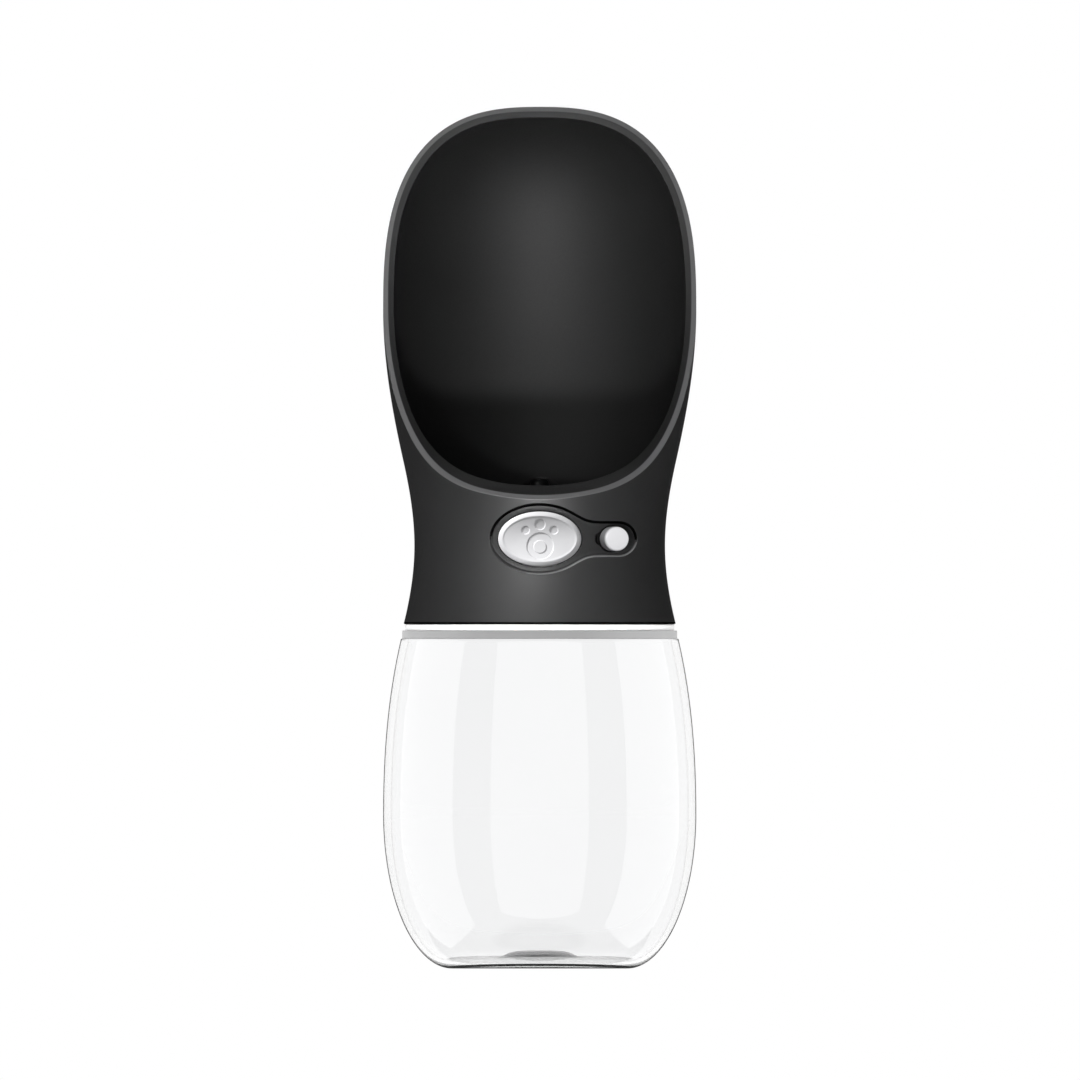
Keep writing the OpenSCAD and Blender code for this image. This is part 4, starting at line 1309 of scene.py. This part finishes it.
# ------------------------------------------------------------------ floor, light, background
fb = Builder()
rows_f = [fb.add(circle_points(r, -0.05, 96)) for r in (60, 300, 900, 2200, 5000)]
for i in range(len(rows_f) - 1):
    fb.strip(rows_f[i], rows_f[i + 1])
fb.fan(rows_f[0], fb.add([[0, 0, -0.05]])[0])
m_floor, nt, bs = new_material("studio_floor")
bs.inputs["Base Color"].default_value = (0.9, 0.9, 0.9, 1)
bs.inputs["Roughness"].default_value = 1.0
bs.inputs["Specular IOR Level"].default_value = 0.0
bs.inputs["Emission Color"].default_value = (1, 1, 1, 1)
bs.inputs["Emission Strength"].default_value = 0.92
floor_mesh = bpy.data.meshes.new("floor")
floor_mesh.from_pydata((np.vstack(fb.co) * MM).tolist(), [], fb.faces)
floor_mesh.update()
floor_mesh.materials.append(m_floor)
floor_ob = bpy.data.objects.new("studio_floor", floor_mesh)
scene.collection.objects.link(floor_ob)
floor_ob.visible_diffuse = False
floor_ob.visible_glossy = False
floor_ob.visible_shadow = False

world = bpy.data.worlds.new("studio")
scene.world = world
world.use_nodes = True
nt = world.node_tree
nt.nodes.clear()
w_out = nt.nodes.new("ShaderNodeOutputWorld")
bright = nt.nodes.new("ShaderNodeBackground")
bright.inputs["Color"].default_value = (1, 1, 1, 1)
bright.inputs["Strength"].default_value = 1.0
dim = nt.nodes.new("ShaderNodeBackground")
dim.inputs["Color"].default_value = (1, 1, 1, 1)
dim.inputs["Strength"].default_value = 0.07
lp = nt.nodes.new("ShaderNodeLightPath")
mx = nt.nodes.new("ShaderNodeMixShader")
fac = math_node(nt, "MAXIMUM", lp.outputs["Is Camera Ray"], lp.outputs["Is Transmission Ray"])
nt.links.new(fac, mx.inputs[0])
nt.links.new(dim.outputs[0], mx.inputs[1])
nt.links.new(bright.outputs[0], mx.inputs[2])
nt.links.new(mx.outputs[0], w_out.inputs["Surface"])


def softbox(name, at, look, w, h, power, shape="RECTANGLE"):
    d = bpy.data.lights.new(name, "AREA")
    d.shape = shape
    d.size, d.size_y = w, h
    d.energy = power
    o = bpy.data.objects.new(name, d)
    o.location = at
    direction = Vector(look) - Vector(at)
    o.rotation_euler = direction.to_track_quat("-Z", "Y").to_euler()
    o.visible_camera = False
    o.visible_transmission = False
    scene.collection.objects.link(o)
    return o


def spot(name, at, look, reach, radius, power):
    """A soft-edged spot that fades out at a distance `reach` from the point it looks at."""
    d = bpy.data.lights.new(name, "SPOT")
    direction = Vector(look) - Vector(at)
    d.spot_size = 2 * math.atan(reach / direction.length)
    d.spot_blend = 1.0
    d.shadow_soft_size = radius
    d.energy = power
    o = bpy.data.objects.new(name, d)
    o.location = at
    o.rotation_euler = direction.to_track_quat("-Z", "Y").to_euler()
    scene.collection.objects.link(o)
    return o


# The clear bottle, the head and the pale keys are lit apart, so that the glass shows no lamp as a
# hot spot and each finish keeps its own contrast.
def group(name, objects):
    c = bpy.data.collections.new(name)
    for o in objects:
        c.objects.link(o)
    return c


def only(light, receivers, blockers=None):
    light.light_linking.receiver_collection = receivers
    if blockers is not None:
        light.light_linking.blocker_collection = blockers
    return light


meshes = [o for o in scene.objects if o.type == "MESH" and o is not floor_ob]
keys = [button_ob, knob_ob]
glass = group("glass_parts", [bottle_ob, gasket_ob])
dark = group("dark_parts", [o for o in meshes if o not in keys and o is not bottle_ob])
solids = group("solid_parts", [o for o in meshes if o is not bottle_ob])
button_set = group("button_set", [button_ob])
knob_set = group("knob_set", [knob_ob])
head_only = group("head_only", [head_ob, bottle_ob])

only(softbox("front", (-0.012, -0.55, -0.02), (0, 0, 0.12), 0.15, 0.44, 0.9), dark)
only(softbox("key", (-0.45, -0.75, 0.62), (0, 0, 0.12), 0.35, 0.35, 0.65), dark, head_only)
only(softbox("left", (-0.80, -0.75, 0.16), (0, 0, 0.13), 0.20, 0.5, 0.8), dark)
only(softbox("right", (0.80, -0.75, 0.16), (0, 0, 0.13), 0.20, 0.5, 0.06), dark)
only(softbox("back", (0.3, 1.3, 0.7), (0, 0, 0.12), 0.9, 0.6, 0.8), solids)
only(softbox("top", (0, 0.5, 1.2), (0, 0, 0.1), 0.6, 0.6, 3.0), solids)
only(spot("trough_spot", (0.0, -0.80, -0.14), (0, 0.03, 0.172), 0.058, 0.13, 182.0), dark)
only(spot("neck_spot", (-0.17, -0.80, 0.085), (-0.004, 0, 0.086), 0.042, 0.03, 17.0), dark)
only(softbox("button_key", (-0.55, -0.40, 0.62), (0, 0, 0.10), 0.20, 0.20, 9.6), button_set)
only(softbox("button_fill", (0.05, -0.9, 0.10), (0, 0, 0.10), 0.5, 0.5, 1.0), button_set)
only(softbox("button_side", (0.85, -0.42, 0.08), (0, 0, 0.10), 0.30, 0.30, 1.5), button_set)
only(softbox("knob_key", (0.42, -0.70, 0.30), (0.018, 0, 0.10), 0.25, 0.25, 6.5), knob_set)
only(softbox("bottle_front", (0, -1.2, -0.20), (0, 0, -0.20), 1.75, 1.9, 14.0), glass)
only(softbox("bottle_left", (-1.1, 0.1, -0.20), (0, 0, -0.20), 1.2, 1.8, 11.0), glass)
only(softbox("bottle_right", (1.1, 0.1, -0.20), (0, 0, -0.20), 1.2, 1.8, 11.0), glass)
only(softbox("back_left", (-1.05, 1.2, 0.10), (-1.05, 0, 0.10), 1.5, 2.2, 10.5), glass)
only(softbox("back_right", (1.05, 1.2, 0.10), (1.05, 0, 0.10), 1.5, 2.2, 10.5), glass)
